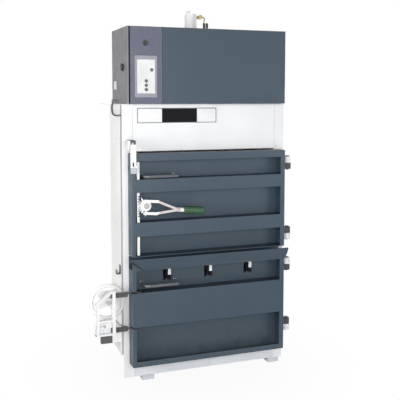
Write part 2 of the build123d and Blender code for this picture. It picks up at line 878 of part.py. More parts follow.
# Rear cover of the hood, folded in round the cylinder
def hood_rear_cover():
    x = hood_right_x - hood_sheet - seam
    t = trough_half
    y1 = hood_rear
    y0 = -trough_half
    s = hood_sheet
    outline = [
        (-x, y1), (-t, y1), (-t, y0), (t, y0), (t, y1), (x, y1),
        (x, y1 - s), (t + s, y1 - s), (t + s, y0 - s), (-t - s, y0 - s), (-t - s, y1 - s), (-x, y1 - s),
    ]
    cover = plan_prism(outline, body_top, hood_top - hood_sheet)
    return cover - rod_z(0, 0, cylinder_flange_diameter + 2 * seam, body_top - overrun,
                         sheet_top + cylinder_flange_height + seam)


# Control strip: a folded plate set a little behind the cover, holed for knob and buttons
def control_panel():
    x0 = hood_left_x + hood_bend + control_groove
    x1 = cover_left_x - seam
    z0 = body_top + seam
    z1 = hood_top - hood_sheet
    y0 = control_panel_y
    plate = block(x0, x1, y0, y0 + control_panel_return, z0, z1)
    plate -= block(x0 + hood_sheet, x1 - hood_sheet, y0 + hood_sheet, y0 + control_panel_return + overrun,
                   z0 + hood_sheet, z1 - hood_sheet)
    plate -= rod_y(selector_x, selector_z, selector_shaft + 2 * pivot_clearance,
                   y0 - overrun, y0 + hood_sheet + overrun)
    for x, z in button_places:
        plate -= rod_y(x, z, button_diameter + 2 * button_clearance, y0 - overrun, y0 + hood_sheet + overrun)
    return plate


def panel_bezel():
    y1 = control_panel_y
    y0 = y1 - bezel_thickness
    x1 = bezel_left_x + bezel_width
    z1 = bezel_bottom + bezel_height
    rim = block(bezel_left_x, x1, y0, y1, bezel_bottom, z1)
    rim = fillet(rim.edges().filter_by(Axis.Y), bezel_corner)
    rim = chamfer(rim.faces().sort_by(Axis.Y)[0].edges(), bezel_thickness / 4)
    return rim - block(bezel_left_x + bezel_border, x1 - bezel_border, y0 - overrun, y1 + overrun,
                       bezel_bottom + bezel_border_end, z1 - bezel_border_end)


def panel_membrane():
    y1 = control_panel_y
    field = block(bezel_left_x + bezel_border, bezel_left_x + bezel_width - bezel_border,
                  y1 - membrane_thickness, y1,
                  bezel_bottom + bezel_border_end, bezel_bottom + bezel_height - bezel_border_end)
    for x, z in button_places:
        field -= rod_y(x, z, button_diameter + 2 * button_clearance,
                       y1 - membrane_thickness - overrun, y1 + overrun)
    return field


# Push button: a domed cap with a skirt that holds it behind the control strip
def push_button(x, z):
    y0 = control_panel_y - membrane_thickness - button_stand
    cap = rod_y(x, z, button_diameter, y0, y0 + button_length)
    cap = fillet(cap.edges().group_by(Axis.Y)[0], button_stand / 2)
    back = control_panel_y + hood_sheet
    return cap + rod_y(x, z, button_diameter + 4 * button_clearance + 2 * button_skirt,
                       back + button_clearance, back + button_clearance + button_skirt)


def selector_knob():
    y1 = control_panel_y - seam
    collar = rod_y(selector_x, selector_z, selector_diameter, y1 - selector_collar_height, y1)
    half = selector_grip_width / 2
    radius = selector_diameter / 2
    grip = block(selector_x - half, selector_x + half, y1 - selector_height, y1 - selector_collar_height / 2,
                 selector_z - radius, selector_z + radius)
    grip &= rod_y(selector_x, selector_z, selector_diameter - selector_collar_height / 2,
                  y1 - selector_height, y1)
    shaft = rod_y(selector_x, selector_z, selector_shaft,
                  y1 - selector_collar_height / 2, y1 + selector_shaft_length)
    return collar + grip + shaft


# Main switch on the hood's left side: square base and a two-lobed handle on a shaft
def switch_base():
    half = switch_base_size / 2
    base = block(hood_left_x - switch_base_thickness, hood_left_x, switch_y - half, switch_y + half,
                 switch_z - half, switch_z + half)
    base = fillet(base.edges().filter_by(Axis.X), switch_base_corner)
    return base - rod_x(switch_y, switch_z, switch_shaft + 2 * pivot_clearance,
                        hood_left_x - switch_base_thickness - overrun, hood_left_x + overrun)


def switch_handle():
    x1 = hood_left_x - switch_base_thickness - seam
    dial = rod_x(switch_y, switch_z, switch_dial_diameter, x1 - switch_dial_height, x1)
    x0 = x1 - switch_dial_height - switch_grip_height
    lobe = (switch_grip_length - switch_lobe_diameter) / 2
    half = switch_grip_waist / 2
    grip = block(x0, x1 - switch_dial_height / 2, switch_y - half, switch_y + half,
                 switch_z - lobe, switch_z + lobe)
    for side in (-1, 1):
        grip += rod_x(switch_y, switch_z + side * lobe, switch_lobe_diameter, x0, x1 - switch_dial_height / 2)
    shaft = rod_x(switch_y, switch_z, switch_shaft, x1 - switch_dial_height / 2, x1 + switch_shaft_length)
    return dial + grip + shaft


# Blank plate low on the hood's left side
def side_plate():
    half = side_plate_width / 2
    plate = block(hood_left_x - side_plate_thickness, hood_left_x, side_plate_y - half, side_plate_y + half,
                  side_plate_bottom, side_plate_bottom + side_plate_height)
    return fillet(plate.edges().filter_by(Axis.X), side_plate_thickness)


# Power unit on the deck under the hood
def oil_tank():
    y0 = hood_front + tank_front_gap
    z1 = body_top + tank_height
    tank = block(tank_left_x, tank_left_x + tank_width, y0, y0 + tank_depth, body_top, z1)
    tank = fillet(tank.edges().filter_by(Axis.Z), tank_corner)
    return tank + rod_z(tank_left_x + tank_width / 2, y0 + tank_depth / 2, tank_cap_diameter,
                        z1, z1 + tank_cap_height)


def pump_motor():
    y = hood_front + tank_front_gap + tank_depth / 2
    z = body_top + motor_axis_height
    x1 = motor_left_x + motor_length
    body = rod_x(y, z, motor_diameter, motor_left_x, x1)
    for k in range(motor_fin_count):
        x = motor_left_x + motor_length * (k + 1) / (motor_fin_count + 1)
        ring = rod_x(y, z, motor_diameter + overrun, x - motor_fin_width / 2, x + motor_fin_width / 2)
        body -= ring - rod_x(y, z, motor_diameter - 2 * motor_fin_depth,
                             x - motor_fin_width, x + motor_fin_width)
    foot_half = motor_foot_width / 2
    body += block(motor_left_x + motor_fin_width, x1 - motor_fin_width, y - foot_half, y + foot_half,
                  body_top, body_top + motor_foot_height)
    web = motor_foot_height / 2
    body += block(motor_left_x + motor_fin_width, x1 - motor_fin_width, y - web, y + web, body_top, z)
    box_half = motor_box_size / 2
    mid = (motor_left_x + x1) / 2
    top = z + motor_diameter / 2
    return body + block(mid - box_half, mid + box_half, y - box_half, y + box_half,
                        top - motor_box_height / 2, top + motor_box_height)


def valve_block():
    y0 = hood_front + tank_front_gap
    x1 = valve_left_x + valve_size
    body = block(valve_left_x, x1, y0, y0 + valve_size, body_top, body_top + valve_height)
    z = body_top + valve_height
    mid_y = y0 + valve_size / 2
    mid_x = (valve_left_x + x1) / 2
    return body + rod_z(mid_x, mid_y, valve_coil_diameter, z, z + valve_coil_length)


# Elbow on the cylinder's port, steel pressure pipe and the two bulkhead fittings on the hood
def port_elbow():
    x0 = cylinder_diameter / 2 - cylinder_clearance
    x1 = cylinder_diameter / 2 + port_nose
    nose = rod_x(0, port_height, port_block * port_nose_share, x0, x1)
    nose -= rod_z(0, 0, cylinder_diameter, port_height - port_block, port_height + port_block)
    half = port_block / 2
    body = block(x1 - port_block, x1, -half, half, port_height - half, port_height + half)
    body = chamfer(body.edges().filter_by(Axis.Y), half / 2)
    return nose + body


def pressure_pipe():
    x0 = cylinder_diameter / 2 + port_nose
    x1 = fitting_x - fitting_spacing / 2
    z1 = hood_top + fitting_height
    drop = pipe_drop_share * (port_height - z1)
    points = [(x0, 0, port_height), (x1, 0, port_height),
              (x1, fitting_y, port_height - drop), (x1, fitting_y, z1)]
    path = FilletPolyline(*points, radius=pipe_bend)
    return sweep(Plane(origin=path @ 0, z_dir=path % 0) * Circle(pipe_diameter / 2), path=path)


def bulkhead_fittings():
    group = []
    for side in (-1, 1):
        x = fitting_x + side * fitting_spacing / 2
        nut = extrude(Pos(x, fitting_y, hood_top) * RegularPolygon(fitting_diameter / 2, 6),
                      amount=fitting_height, dir=(0, 0, 1))
        stem = rod_z(x, fitting_y, fitting_diameter * fitting_stem_share, hood_top - fitting_stem_length,
                     hood_top)
        group.append(nut + stem)
    return group


# Control cable: held by a gland at the hood and another at the column's groove, along the side panel
def cable_points():
    reach = cable_end_y - cable_start_y
    return [(cable_x, cable_start_y + forward * reach, cable_start_z - drop * cable_sag)
            for forward, drop in zip(cable_forward_shares, cable_drop_shares)]


def control_cable():
    points = [Vector(*p) for p in cable_points()]
    radii = []
    for a, b, c in zip(points, points[1:], points[2:]):
        turn = math.radians((b - a).get_angle(c - b))
        run = min((b - a).length, (c - b).length)
        radii.append(cable_run_share * run / math.tan(turn / 2))
    print("cable bend radii", [round(r, 1) for r in radii])
    path = FilletPolyline(*points, radius=radii)
    tube = sweep(Plane(origin=path @ 0, z_dir=path % 0) * Circle(cable_diameter / 2), path=path)
    print("cable length", round(path.length, 1), "volume ratio",
          round(tube.volume / (math.pi * cable_diameter ** 2 / 4 * path.length), 4))
    return tube


def cable_glands():
    points = [Vector(*p) for p in cable_points()]
    group = []
    out = (points[0] - points[1]).normalized()
    upper = extrude(Plane(origin=points[0], z_dir=out) * RegularPolygon(gland_body / 2, 6),
                    amount=gland_length)
    reach = block(cable_x, hood_left_x, points[0].Y - gland_body / 4, points[0].Y + gland_body / 4,
                  points[0].Z + gland_length * gland_foot_shares[0],
                  points[0].Z + gland_length * gland_foot_shares[1])
    group.append(upper + reach)
    out = (points[-1] - points[-2]).normalized()
    lower = extrude(Plane(origin=points[-1], z_dir=out) * RegularPolygon(gland_body / 2, 6),
                    amount=gland_length)
    y1 = points[-1].Y - gland_length * gland_foot_shares[0]
    y0 = points[-1].Y - gland_length * gland_foot_shares[1]
    reach = block(cable_x, -half_body + groove_depth, y0, y1,
                  points[-1].Z - gland_body / 4, points[-1].Z + gland_body / 4)
    group.append(lower + reach)
    return group


# Door tray: back skin, deep rim with narrow front flanges, and hollow ribs up to the front plane
def door_tray(z0, z1, ribs, opening_bottom, opening_top):
    tray = block(door_left_x, door_right_x, door_front, door_back, z0, z1)
    tray = fillet(tray.faces().sort_by(Axis.Y)[0].edges().filter_by(Axis.Z), door_bend)
    s = door_sheet
    levels = [z0] + sorted(z for rib in ribs for z in rib) + [z1]
    for k, (low, high) in enumerate(zip(levels, levels[1:])):
        is_rib = k % 2 == 1
        low_wall = s if is_rib or k == 0 else 0
        high_wall = s if is_rib or k == len(levels) - 2 else 0
        tray -= block(door_left_x + s, door_right_x - s, door_front + s, door_skin_y,
                      low + low_wall, high - high_wall)
        if not is_rib:
            bottom = max(low, opening_bottom)
            top = min(high, opening_top)
            tray -= block(door_left_x + left_stile, door_right_x - right_stile, door_front - overrun,
                          door_front + s + overrun, bottom, top)
    return tray


def upper_door_panel():
    tray = door_tray(upper_door_bottom, upper_door_top, upper_ribs, upper_door_bottom + door_sheet,
                     upper_door_top - upper_top_flange)
    c = bar_clearance
    for low, high in upper_ribs:
        tray -= block(bar_left_x - c, bar_tip_x + c, lever_y0 - c, lever_y1 + c,
                      low - overrun, high + overrun)
    return tray


# Lower door: tray with a forward lip above it, a gusset at the lip's cut end, strap slots and bolt slots
def lower_door_panel():
    tray = door_tray(lower_door_bottom, lower_door_web, lower_ribs, lower_door_bottom + lower_bottom_flange,
                     lower_door_web - door_sheet)
    s = door_sheet
    tray += block(door_left_x, door_right_x, door_skin_y, door_back, lower_door_web - s, lower_door_top)
    foot_z = lower_door_web - s
    lip_y = door_front - lip_lean
    lip = [
        (door_front, foot_z), (lip_y, lower_door_top - lip_rim), (lip_y, lower_door_top),
        (lip_y + 2 * s, lower_door_top), (lip_y + s, lower_door_top - lip_rim - s),
        (door_front + s, foot_z + s), (door_front + s, foot_z),
    ]
    lip_solid = side_prism(lip, lip_left_x, lip_right_x)
    lip_solid -= front_prism([(lip_left_x - overrun, lower_door_top - 2 * lip_rim), (lip_foot_left_x, foot_z),
                              (lip_foot_left_x, foot_z - overrun), (lip_left_x - overrun, foot_z - overrun)],
                             door_front - 2 * lip_lean, door_front + 2 * s)
    lip_solid -= front_prism([(lip_right_x + overrun, lower_door_top - 2 * lip_rim), (door_right_x, foot_z),
                              (door_right_x, foot_z - overrun), (lip_right_x + overrun, foot_z - overrun)],
                             door_front - 2 * lip_lean, door_front + 2 * s)
    tray += lip_solid
    tray += front_prism([(door_left_x, foot_z), (lip_foot_left_x, foot_z),
                         (door_left_x, lower_door_top - 3 * lip_rim)], door_front, door_front + s)
    for x in strap_xs:
        middle = x + strap_slot_offset
        tray -= block(middle - strap_slot_width / 2, middle + strap_slot_width / 2, door_skin_y - overrun,
                      door_back + overrun, strap_slot_bottom, strap_slot_top)
    for (_, z), slit in zip(bolt_places(), (lower_slit_length, upper_slit_length)):
        c = bolt_slot_clearance
        half = bolt_tongue_height / 2 + c
        tray -= block(door_left_x - overrun, door_left_x + left_stile, clamp_mid_y - bolt_thickness / 2 - c,
                      clamp_mid_y + bolt_thickness / 2 + clamp_travel + c, z - half, z + half)
        tray -= block(door_left_x - overrun, door_left_x + slit, door_front - overrun, clamp_mid_y,
                      z - slit_height / 2, z + slit_height / 2)
    return tray


# Pull handle: bent round bar on two roses on the door's skin
def pull_handle(z):
    x0 = handle_left_x
    x1 = handle_left_x + handle_span
    y0 = door_skin_y
    y1 = door_skin_y - handle_reach
    path = FilletPolyline((x0, y0, z), (x0, y1, z), (x1, y1, z), (x1, y0, z), radius=handle_bend)
    bar = sweep(Plane(origin=path @ 0, z_dir=path % 0) * Circle(handle_diameter / 2), path=path)
    for x in (x0, x1):
        bar += rod_y(x, z, handle_rose_diameter, y0 - handle_rose_height, y0)
    return bar


# Hinges: knuckles on a common axis; the frame's lugs reach back to the column, the doors' to the door rim
def hinge_bore(z0, z1):
    return rod_z(hinge_x, hinge_y, hinge_pin_diameter + 2 * running_clearance, z0 - overrun, z1 + overrun)


def frame_lug(z0, z1):
    lug = rod_z(hinge_x, hinge_y, knuckle_diameter, z0, z1)
    lug += block(half_body - frame_arm_width, half_body, hinge_y, front_y, z0, z1)
    return lug - hinge_bore(z0, z1)


def door_lug(z0, z1):
    lug = rod_z(hinge_x, hinge_y, knuckle_diameter, z0, z1)
    lug += block(door_right_x, hinge_x, hinge_y - door_arm_width / 2, hinge_y + door_arm_width / 2, z0, z1)
    return lug - hinge_bore(z0, z1)


def hinge_heights(split, frame_above):
    """Heights of the frame's lug and of the door's lug at one hinge."""
    upper = (split + hinge_gap, split + hinge_gap + lug_height)
    lower = (split - lug_height, split)
    return (upper, lower) if frame_above else (lower, upper)


def hinge_lugs(maker, pick, which):
    group = []
    for split, above in list(zip(hinge_splits, hinge_frame_above))[which]:
        group.append(maker(*hinge_heights(split, above)[pick]))
    return group


def hinge_pins():
    group = []
    for split in hinge_splits:
        z0 = split - lug_height - hinge_tail
        z1 = split + hinge_gap + lug_height
        pin = rod_z(hinge_x, hinge_y, hinge_pin_diameter, z0, z1 + hinge_cap_height)
        group.append(pin + rod_z(hinge_x, hinge_y, hinge_cap_diameter, z1 + hinge_gap, z1 + hinge_cap_height))
    return group


# Toothed lock lever: involute sector, two flat arms, bent arms that meet in a collar, and a moulded grip
def involute(radius, base_radius):
    angle = math.acos(base_radius / radius)
    return math.tan(angle) - angle


def gear_outline():
    """Points of the toothed sector round its own centre, teeth to the left."""
    pressure = math.radians(gear_pressure_angle)
    base = gear_pitch_radius * math.cos(pressure)
    tip = gear_pitch_radius + gear_module * gear_addendum_share
    root = gear_pitch_radius - gear_module * lever_root_share
    half_pitch = math.pi / (2 * gear_tooth_count) - gear_backlash / (2 * gear_pitch_radius)

    def half_angle(radius):
        return half_pitch + involute(gear_pitch_radius, base) - involute(radius, base)

    radii = [base, gear_pitch_radius, tip]
    points = [(0, 0)]
    for tooth in range(gear_upper_tooth_count, -gear_lower_tooth_count - 1, -1):
        middle = math.pi - tooth * 2 * math.pi / gear_tooth_count
        rising = [(root, -half_angle(base))] + [(r, -half_angle(r)) for r in radii]
        falling = [(r, half_angle(r)) for r in reversed(radii)] + [(root, half_angle(base))]
        points += [(r * math.cos(middle + a), r * math.sin(middle + a)) for r, a in rising + falling]
    return points


def place_lever(solid):
    """From the lever's own frame, pivot at the origin, to its place on the door."""
    return Pos(lever_x, 0, lever_z) * solid


def tilt_lever(solid):
    """Turns the arms down to their rest angle."""
    return Rot(0, lever_tilt_angle, 0) * solid


def bent_arm(start, end, y0, y1):
    """Flat bar from an arm's end out to the collar."""
    a = Vector(start[0], y0, start[1])
    b = Vector(end[0], y1, end[1])
    along = (b - a).normalized()
    across = along.cross(Vector(0, 0, 1)).normalized()
    section = Plane(origin=a, x_dir=across, z_dir=along) * Rectangle(bent_arm_thickness, bent_arm_width)
    return extrude(section, amount=(b - a).length, dir=along)


def lock_lever():
    y0 = lever_y0
    y1 = lever_y1
    mid_y = (y0 + y1) / 2
    half = arm_width / 2
    arms = block(-arm_root_share * upper_arm_length, upper_arm_length, y0, y1,
                 upper_arm_height - half, upper_arm_height + half)
    arms += block(-arm_root_share * lower_arm_length, lower_arm_length, y0, y1,
                  lower_arm_height - half, lower_arm_height + half)
    apex = (apex_length, apex_height)
    reach_y = mid_y - apex_reach
    arms += bent_arm((upper_arm_length - half, upper_arm_height), apex, mid_y, reach_y)
    arms += bent_arm((lower_arm_length - half, lower_arm_height), apex, mid_y, reach_y)
    arms += rod_x(reach_y, apex_height, collar_diameter, apex_length - half, apex_length + collar_length)
    tang_end = apex_length + collar_length + grip_length * grip_tang_share
    arms += rod_x(reach_y, apex_height, grip_tang_diameter, apex_length + collar_length, tang_end)
    lever = tilt_lever(arms) + front_prism(gear_outline(), y0, y1) + rod_y(0, 0, lever_hub_diameter, y0, y1)
    for angle in lever_stop_angles:
        stop_half = lever_stop_width / 2
        base_half = 2 * stop_half
        stop = front_prism([(0, -base_half), (lever_stop_radius, -stop_half / 4),
                            (lever_stop_radius, stop_half / 4), (0, base_half)], y0, y1)
        lever += Rot(0, -angle, 0) * stop
    lever -= rod_y(0, 0, lever_bolt_diameter + 2 * pivot_clearance, y0 - overrun, y1 + overrun)
    return place_lever(lever)


def lever_grip():
    y = (lever_y0 + lever_y1) / 2 - apex_reach
    x0 = apex_length + collar_length
    x1 = x0 + grip_length
    grip = rod_x(y, apex_height, grip_diameter, x0, x1)
    grip = fillet(grip.edges().group_by(Axis.X)[-1], grip_end)
    grip = fillet(grip.edges().group_by(Axis.X)[0], grip_end / 4)
    grip -= rod_x(y, apex_height, grip_tang_diameter, x0 - overrun, x0 + grip_length * grip_tang_share)
    return place_lever(tilt_lever(grip))


# Shoulder bolts of the upper door: the lever's pivot on its boss and the stud in the latch plate's slot
def door_bolts():
    boss = rod_y(lever_x, lever_z, lever_boss_diameter, lever_y1 + hinge_gap, door_skin_y)
    shank = rod_y(lever_x, lever_z, lever_bolt_diameter, lever_y0 - hinge_gap, door_skin_y)
    head = rod_y(lever_x, lever_z, lever_bolt_head, lever_y0 - hinge_gap - lever_bolt_head_height,
                 lever_y0 - hinge_gap)
    head = chamfer(head.edges().group_by(Axis.Y)[0], lever_bolt_head_height / 4)
    stud = rod_y(latch_plate_mid_x, latch_stud_z, latch_stud_diameter, latch_plate_y0, door_front)
    return [boss + shank + head, stud]


# Rack bar: flat bar with rack teeth opposite the lever's sector
def lock_bar():
    pitch = math.pi * gear_module
    slope = math.tan(math.radians(gear_pressure_angle))
    tip_half = pitch / 4 - gear_backlash / 4 - (bar_tip_x - bar_pitch_x) * slope
    root_half = pitch / 4 - gear_backlash / 4 + (bar_pitch_x - bar_root_x) * slope
    points = [(bar_left_x, bar_bottom), (bar_tip_x, bar_bottom)]
    for k in range(rack_gap_count):
        gap = lever_z + (k - rack_gap_count // 2) * pitch
        points += [(bar_tip_x, gap - pitch / 2 + tip_half), (bar_root_x, gap - pitch / 2 + root_half),
                   (bar_root_x, gap + pitch / 2 - root_half), (bar_tip_x, gap + pitch / 2 - tip_half)]
    points += [(bar_tip_x, bar_top), (bar_left_x, bar_top)]
    return front_prism(points, lever_y0, lever_y1)


# Latch plate in front of the door's corner, tied to the rack bar below, with a slot and a headed pin
def latch_plate():
    x0 = latch_plate_left_x
    x1 = latch_plate_left_x + latch_plate_width
    y0 = latch_plate_y0
    y1 = latch_plate_y1
    plate = block(x0, x1, y0, y1, latch_plate_bottom + latch_round_rise, latch_plate_top)
    plate = fillet(plate.edges().filter_by(Axis.Y).group_by(Axis.Z)[-1], latch_plate_width / 8)
    plate = fillet(plate.edges().filter_by(Axis.Y).group_by(Axis.Z)[0], latch_plate_width * latch_round_share)
    plate += block(x0, x1, y0 + latch_plate_sheet / 2, y1, latch_plate_bottom, latch_tie_top)
    tie_x0 = door_left_x + left_stile + latch_tie_clearance
    plate += block(x1 - latch_plate_sheet, bar_left_x, y0, y1, latch_plate_bottom, latch_tie_top)
    plate += block(tie_x0, bar_left_x, y0, lever_y1, latch_plate_bottom, latch_tie_top)
    r = latch_stud_diameter / 2 + latch_slot_clearance
    z0 = latch_stud_z - latch_travel
    z1 = latch_stud_z
    plate -= block(latch_plate_mid_x - r, latch_plate_mid_x + r, y0 - overrun, y1 + overrun, z0, z1)
    for z in (z0, z1):
        plate -= rod_y(latch_plate_mid_x, z, 2 * r, y0 - overrun, y1 + overrun)
    pin_y = keeper_wall_y1 + latch_stud_clearance
    plate += rod_y(latch_plate_mid_x, latch_pin_z, latch_pin_diameter,
                   y0 - latch_pin_head_length / 2, pin_y + latch_pin_head_length)
    return plate + rod_y(latch_plate_mid_x, latch_pin_z, latch_pin_head, pin_y, pin_y + latch_pin_head_length)


# Keeper on the left column: folded bracket with a slotted front wall that the latch pin rises into
def latch_keeper():
    s = keeper_sheet
    x0 = latch_plate_left_x - keeper_left_gap - s
    x1 = latch_plate_left_x + latch_plate_width
    y0 = keeper_wall_y0
    keeper = block(x0, x0 + s, y0, y0 + keeper_leg_depth, keeper_bottom, keeper_top)
    keeper += block(x0, x1, y0, front_y, keeper_top - s, keeper_top)
    wall_bottom = latch_pin_z + latch_pin_head / 2 + keeper_lift_gap
    keeper += block(x0, x1, y0, y0 + s, wall_bottom, keeper_top)
    keeper = fillet(keeper.edges().filter_by(Axis.Y).group_by(Axis.Z)[-1].sort_by(Axis.X)[:1], s)
    half = latch_pin_diameter / 2 + latch_stud_clearance
    slot_top = latch_pin_z + latch_travel + half
    keeper -= block(latch_plate_mid_x - half, latch_plate_mid_x + half, y0 - overrun, y0 + s + overrun,
                    wall_bottom - overrun, slot_top - half)
    return keeper - rod_y(latch_plate_mid_x, slot_top - half, 2 * half, y0 - overrun, y0 + s + overrun)


# Strap clips under the lip: a bent spring strip on the door's skin with a black pad below
def strap_clips():
    group = []
    for x in strap_xs:
        x0 = x + strap_clip_offset - strap_clip_width / 2
        y = door_skin_y
        d = strap_clip_depth
        t = strap_clip_sheet
        shape = [(y, strap_clip_top), (y - t, strap_clip_top), (y - d, strap_clip_top - d),
                 (y - d, strap_clip_bottom), (y - d + t, strap_clip_bottom),
                 (y - d + t, strap_clip_top - d - t / 2), (y, strap_clip_top - 2 * t)]
        group.append(side_prism(shape, x0, x0 + strap_clip_width))
    return group


def strap_pads():
    group = []
    for x in strap_xs:
        x0 = x + strap_clip_offset - strap_clip_width / 2
        pad = block(x0, x0 + strap_clip_width, door_skin_y - strap_pad_depth, door_skin_y,
                    strap_clip_bottom - strap_pad_height, strap_clip_bottom)
        group.append(fillet(pad.edges().filter_by(Axis.Y), strap_clip_width / 4))
    return group


# Clamp frame: welded flat-bar loop with a slotted lower plate, a cross plate for the spindle and a guide rod
def bolt_places():
    """Middle heights of each locking bolt and of its tongue, the lower bolt first."""
    low = lower_rib_bottom - lower_bolt_drop
    high = lower_rib_top + upper_bolt_rise
    return ((low, low), (high - bolt_tongue_lift, high))


def clamp_frame():
    x0 = clamp_frame_left_x
    x1 = clamp_frame_right_x
    y0 = clamp_frame_front_y
    y1 = clamp_frame_back_y
    bar = clamp_frame_bar
    edge = clamp_frame_edge
    outer = [(x0, clamp_frame_bottom), (x1, clamp_frame_bottom), (x1, clamp_frame_top),
             (x1 - bar, clamp_frame_top), (x0, clamp_frame_shoulder)]
    slope = (clamp_frame_top - clamp_frame_shoulder) / (x1 - bar - x0)
    upper = [(x0 + edge, clamp_frame_mid_bottom + edge), (x1 - bar, clamp_frame_mid_bottom + edge),
             (x1 - bar, clamp_frame_top - edge), (x0 + edge, clamp_frame_shoulder + edge * slope - edge)]
    lower = [(x0 + edge, clamp_frame_bottom + edge), (x1 - bar, clamp_frame_bottom + edge),
             (x1 - bar, clamp_frame_mid_bottom), (x0 + edge, clamp_frame_mid_bottom)]
    frame = front_prism(outer, y0, y1) - front_prism(upper, y0 - overrun, y1 + overrun)
    frame -= front_prism(lower, y0 - overrun, y1 - clamp_plate_sheet)
    slot_x = (x0 + edge + x1 - bar) / 2
    slot_z = (clamp_frame_bottom + clamp_frame_mid_bottom) / 2
    frame -= block(slot_x - clamp_plate_slot_width / 2, slot_x + clamp_plate_slot_width / 2,
                   y1 - 2 * clamp_plate_sheet, y1 + overrun, slot_z, slot_z + clamp_plate_slot_height)
    half = clamp_cross_height / 2
    cross = block(x0 + edge, x1 - bar, y1 - clamp_plate_sheet, y1, clamp_axis_z - half, clamp_axis_z + half)
    frame += cross - rod_y(clamp_axis_x, clamp_axis_z, spindle_diameter + 2 * pivot_clearance,
                           y0, y1 + overrun)
    for z, _ in bolt_places():
        c = bolt_clearance
        h = bolt_height / 2 + c
        t = bolt_thickness / 2 + c
        frame -= block(clamp_post_left_x - overrun, x1 + overrun, clamp_mid_y - t, clamp_mid_y + t,
                       z - h, z + h)
    frame += rod_y(guide_rod_x, guide_rod_z, guide_rod_diameter, y1,
                   bracket_y + bracket_arm / 2 + spindle_tail)
    return frame


# Locking bolts: flat bars through the clamp frame's post, with a tongue for the door's slots
def clamp_bolts():
    group = []
    tip = door_left_x - bolt_tip_gap
    t = bolt_thickness / 2
    step = tip - bolt_tongue_length
    left_x = clamp_post_left_x - bolt_tail
    for z, tongue_z in bolt_places():
        h = bolt_height / 2
        n = bolt_tongue_height / 2
        shape = [(left_x, z - h), (step, z - h), (step, tongue_z - n), (tip, tongue_z - n),
                 (tip, tongue_z + n), (step, tongue_z + n), (step, z + h), (left_x, z + h)]
        group.append(front_prism(shape, clamp_mid_y - t, clamp_mid_y + t))
    return group


# Handwheel: round rim on three spokes and a hub, keyed to the spindle behind the clamp frame
def handwheel():
    radius = (wheel_diameter - wheel_rim) / 2
    wheel = Rot(90, 0, 0) * Torus(radius, wheel_rim / 2)
    wheel += rod_y(0, 0, wheel_hub_diameter, -wheel_hub_length / 2, wheel_hub_length / 2)
    for k in range(wheel_spoke_count):
        t = wheel_spoke_thickness / 2
        w = wheel_spoke_width / 2
        spoke = block(0, radius, -t, t, -w, w)
        wheel += Rot(0, wheel_spoke_angle + k * 360 / wheel_spoke_count, 0) * spoke
    wheel -= rod_y(0, 0, spindle_diameter, -wheel_hub_length, wheel_hub_length)
    return Pos(clamp_axis_x, wheel_y, clamp_axis_z) * wheel


def spindle():
    front = clamp_frame_back_y - clamp_plate_sheet - hinge_gap
    screw = rod_y(clamp_axis_x, clamp_axis_z, spindle_diameter, front - spindle_nut_height,
                  bracket_y + bracket_arm / 2 + spindle_tail)
    nut = extrude(Plane(origin=(clamp_axis_x, front, clamp_axis_z), x_dir=(1, 0, 0), z_dir=(0, -1, 0))
                  * RegularPolygon(spindle_nut_size / 2, 6), amount=spindle_nut_height)
    return screw + nut


# Clamp bracket on the side panel: back plate, upper arm with the spindle's nut, lower arm for the guide rod
def clamp_bracket():
    x1 = -half_body
    y0 = bracket_y - bracket_arm / 2
    y1 = bracket_y + bracket_arm / 2
    bracket = block(x1 - bracket_plate, x1, y0, y0 + bracket_plate_length, bracket_bottom, bracket_top)
    half = bracket_boss_diameter / 2
    bracket += block(clamp_axis_x, x1, y0, y1, clamp_axis_z - half, clamp_axis_z + half)
    bracket += rod_y(clamp_axis_x, clamp_axis_z, bracket_boss_diameter, y0, y1)
    rod_half = guide_rod_diameter
    low = bracket_bottom + bracket_foot_height
    bracket += block(bracket_foot_left_x, x1, y0, y1, bracket_bottom, low)
    bracket += block(guide_rod_x - 2 * rod_half, guide_rod_x + 2 * rod_half, y0, y1,
                     low - overrun, guide_rod_z + rod_half)
    bracket -= rod_y(clamp_axis_x, clamp_axis_z, spindle_diameter + 2 * running_clearance,
                     y0 - overrun, y1 + overrun)
    return bracket - rod_y(guide_rod_x, guide_rod_z, guide_rod_diameter + 2 * running_clearance,
                           y0 - overrun, y1 + overrun)


# Small folded hook on the left side panel
def side_hook():
    x1 = -half_body
    s = hook_sheet
    shape = [(x1, hook_z), (x1, hook_z + hook_height), (x1 - s, hook_z + hook_height), (x1 - s, hook_z + s),
             (x1 - hook_reach + s, hook_z + s), (x1 - hook_reach + s, hook_z + hook_height / 2),
             (x1 - hook_reach, hook_z + hook_height / 2), (x1 - hook_reach, hook_z)]
    return front_prism(shape, hook_y - hook_width / 2, hook_y + hook_width / 2)


nodes["base_frame"] = base_frame()
nodes["feet"] = feet()
nodes["chamber_floor"] = chamber_floor()
nodes["left_wall"] = side_wall()
nodes["right_wall"] = mirrored(side_wall())
nodes["rear_wall"] = rear_wall()
nodes["left_column"] = column()
nodes["right_column"] = mirrored(column())
nodes["upper_front_panel"] = upper_front_panel()
nodes["sign_plate"] = sign_plate()
nodes["top_deck"] = top_deck()
nodes["crosshead"] = crosshead()
nodes["cylinder_barrel"] = cylinder_barrel()
nodes["cylinder_gland"] = cylinder_gland()
nodes["piston_rod"] = piston_rod()
nodes["press_plate"] = press_plate()
nodes["hood_shell"] = hood_shell()
nodes["hood_front_cover"] = hood_front_cover()
nodes["hood_rear_cover"] = hood_rear_cover()
nodes["control_panel"] = control_panel()
nodes["panel_bezel"] = panel_bezel()
nodes["panel_membrane"] = panel_membrane()
for number, (button_x, button_z) in enumerate(button_places, 1):
    nodes["button_" + str(number)] = push_button(button_x, button_z)
nodes["selector_knob"] = selector_knob()
nodes["switch_base"] = switch_base()
nodes["switch_handle"] = switch_handle()
nodes["side_plate"] = side_plate()
nodes["oil_tank"] = oil_tank()
nodes["pump_motor"] = pump_motor()
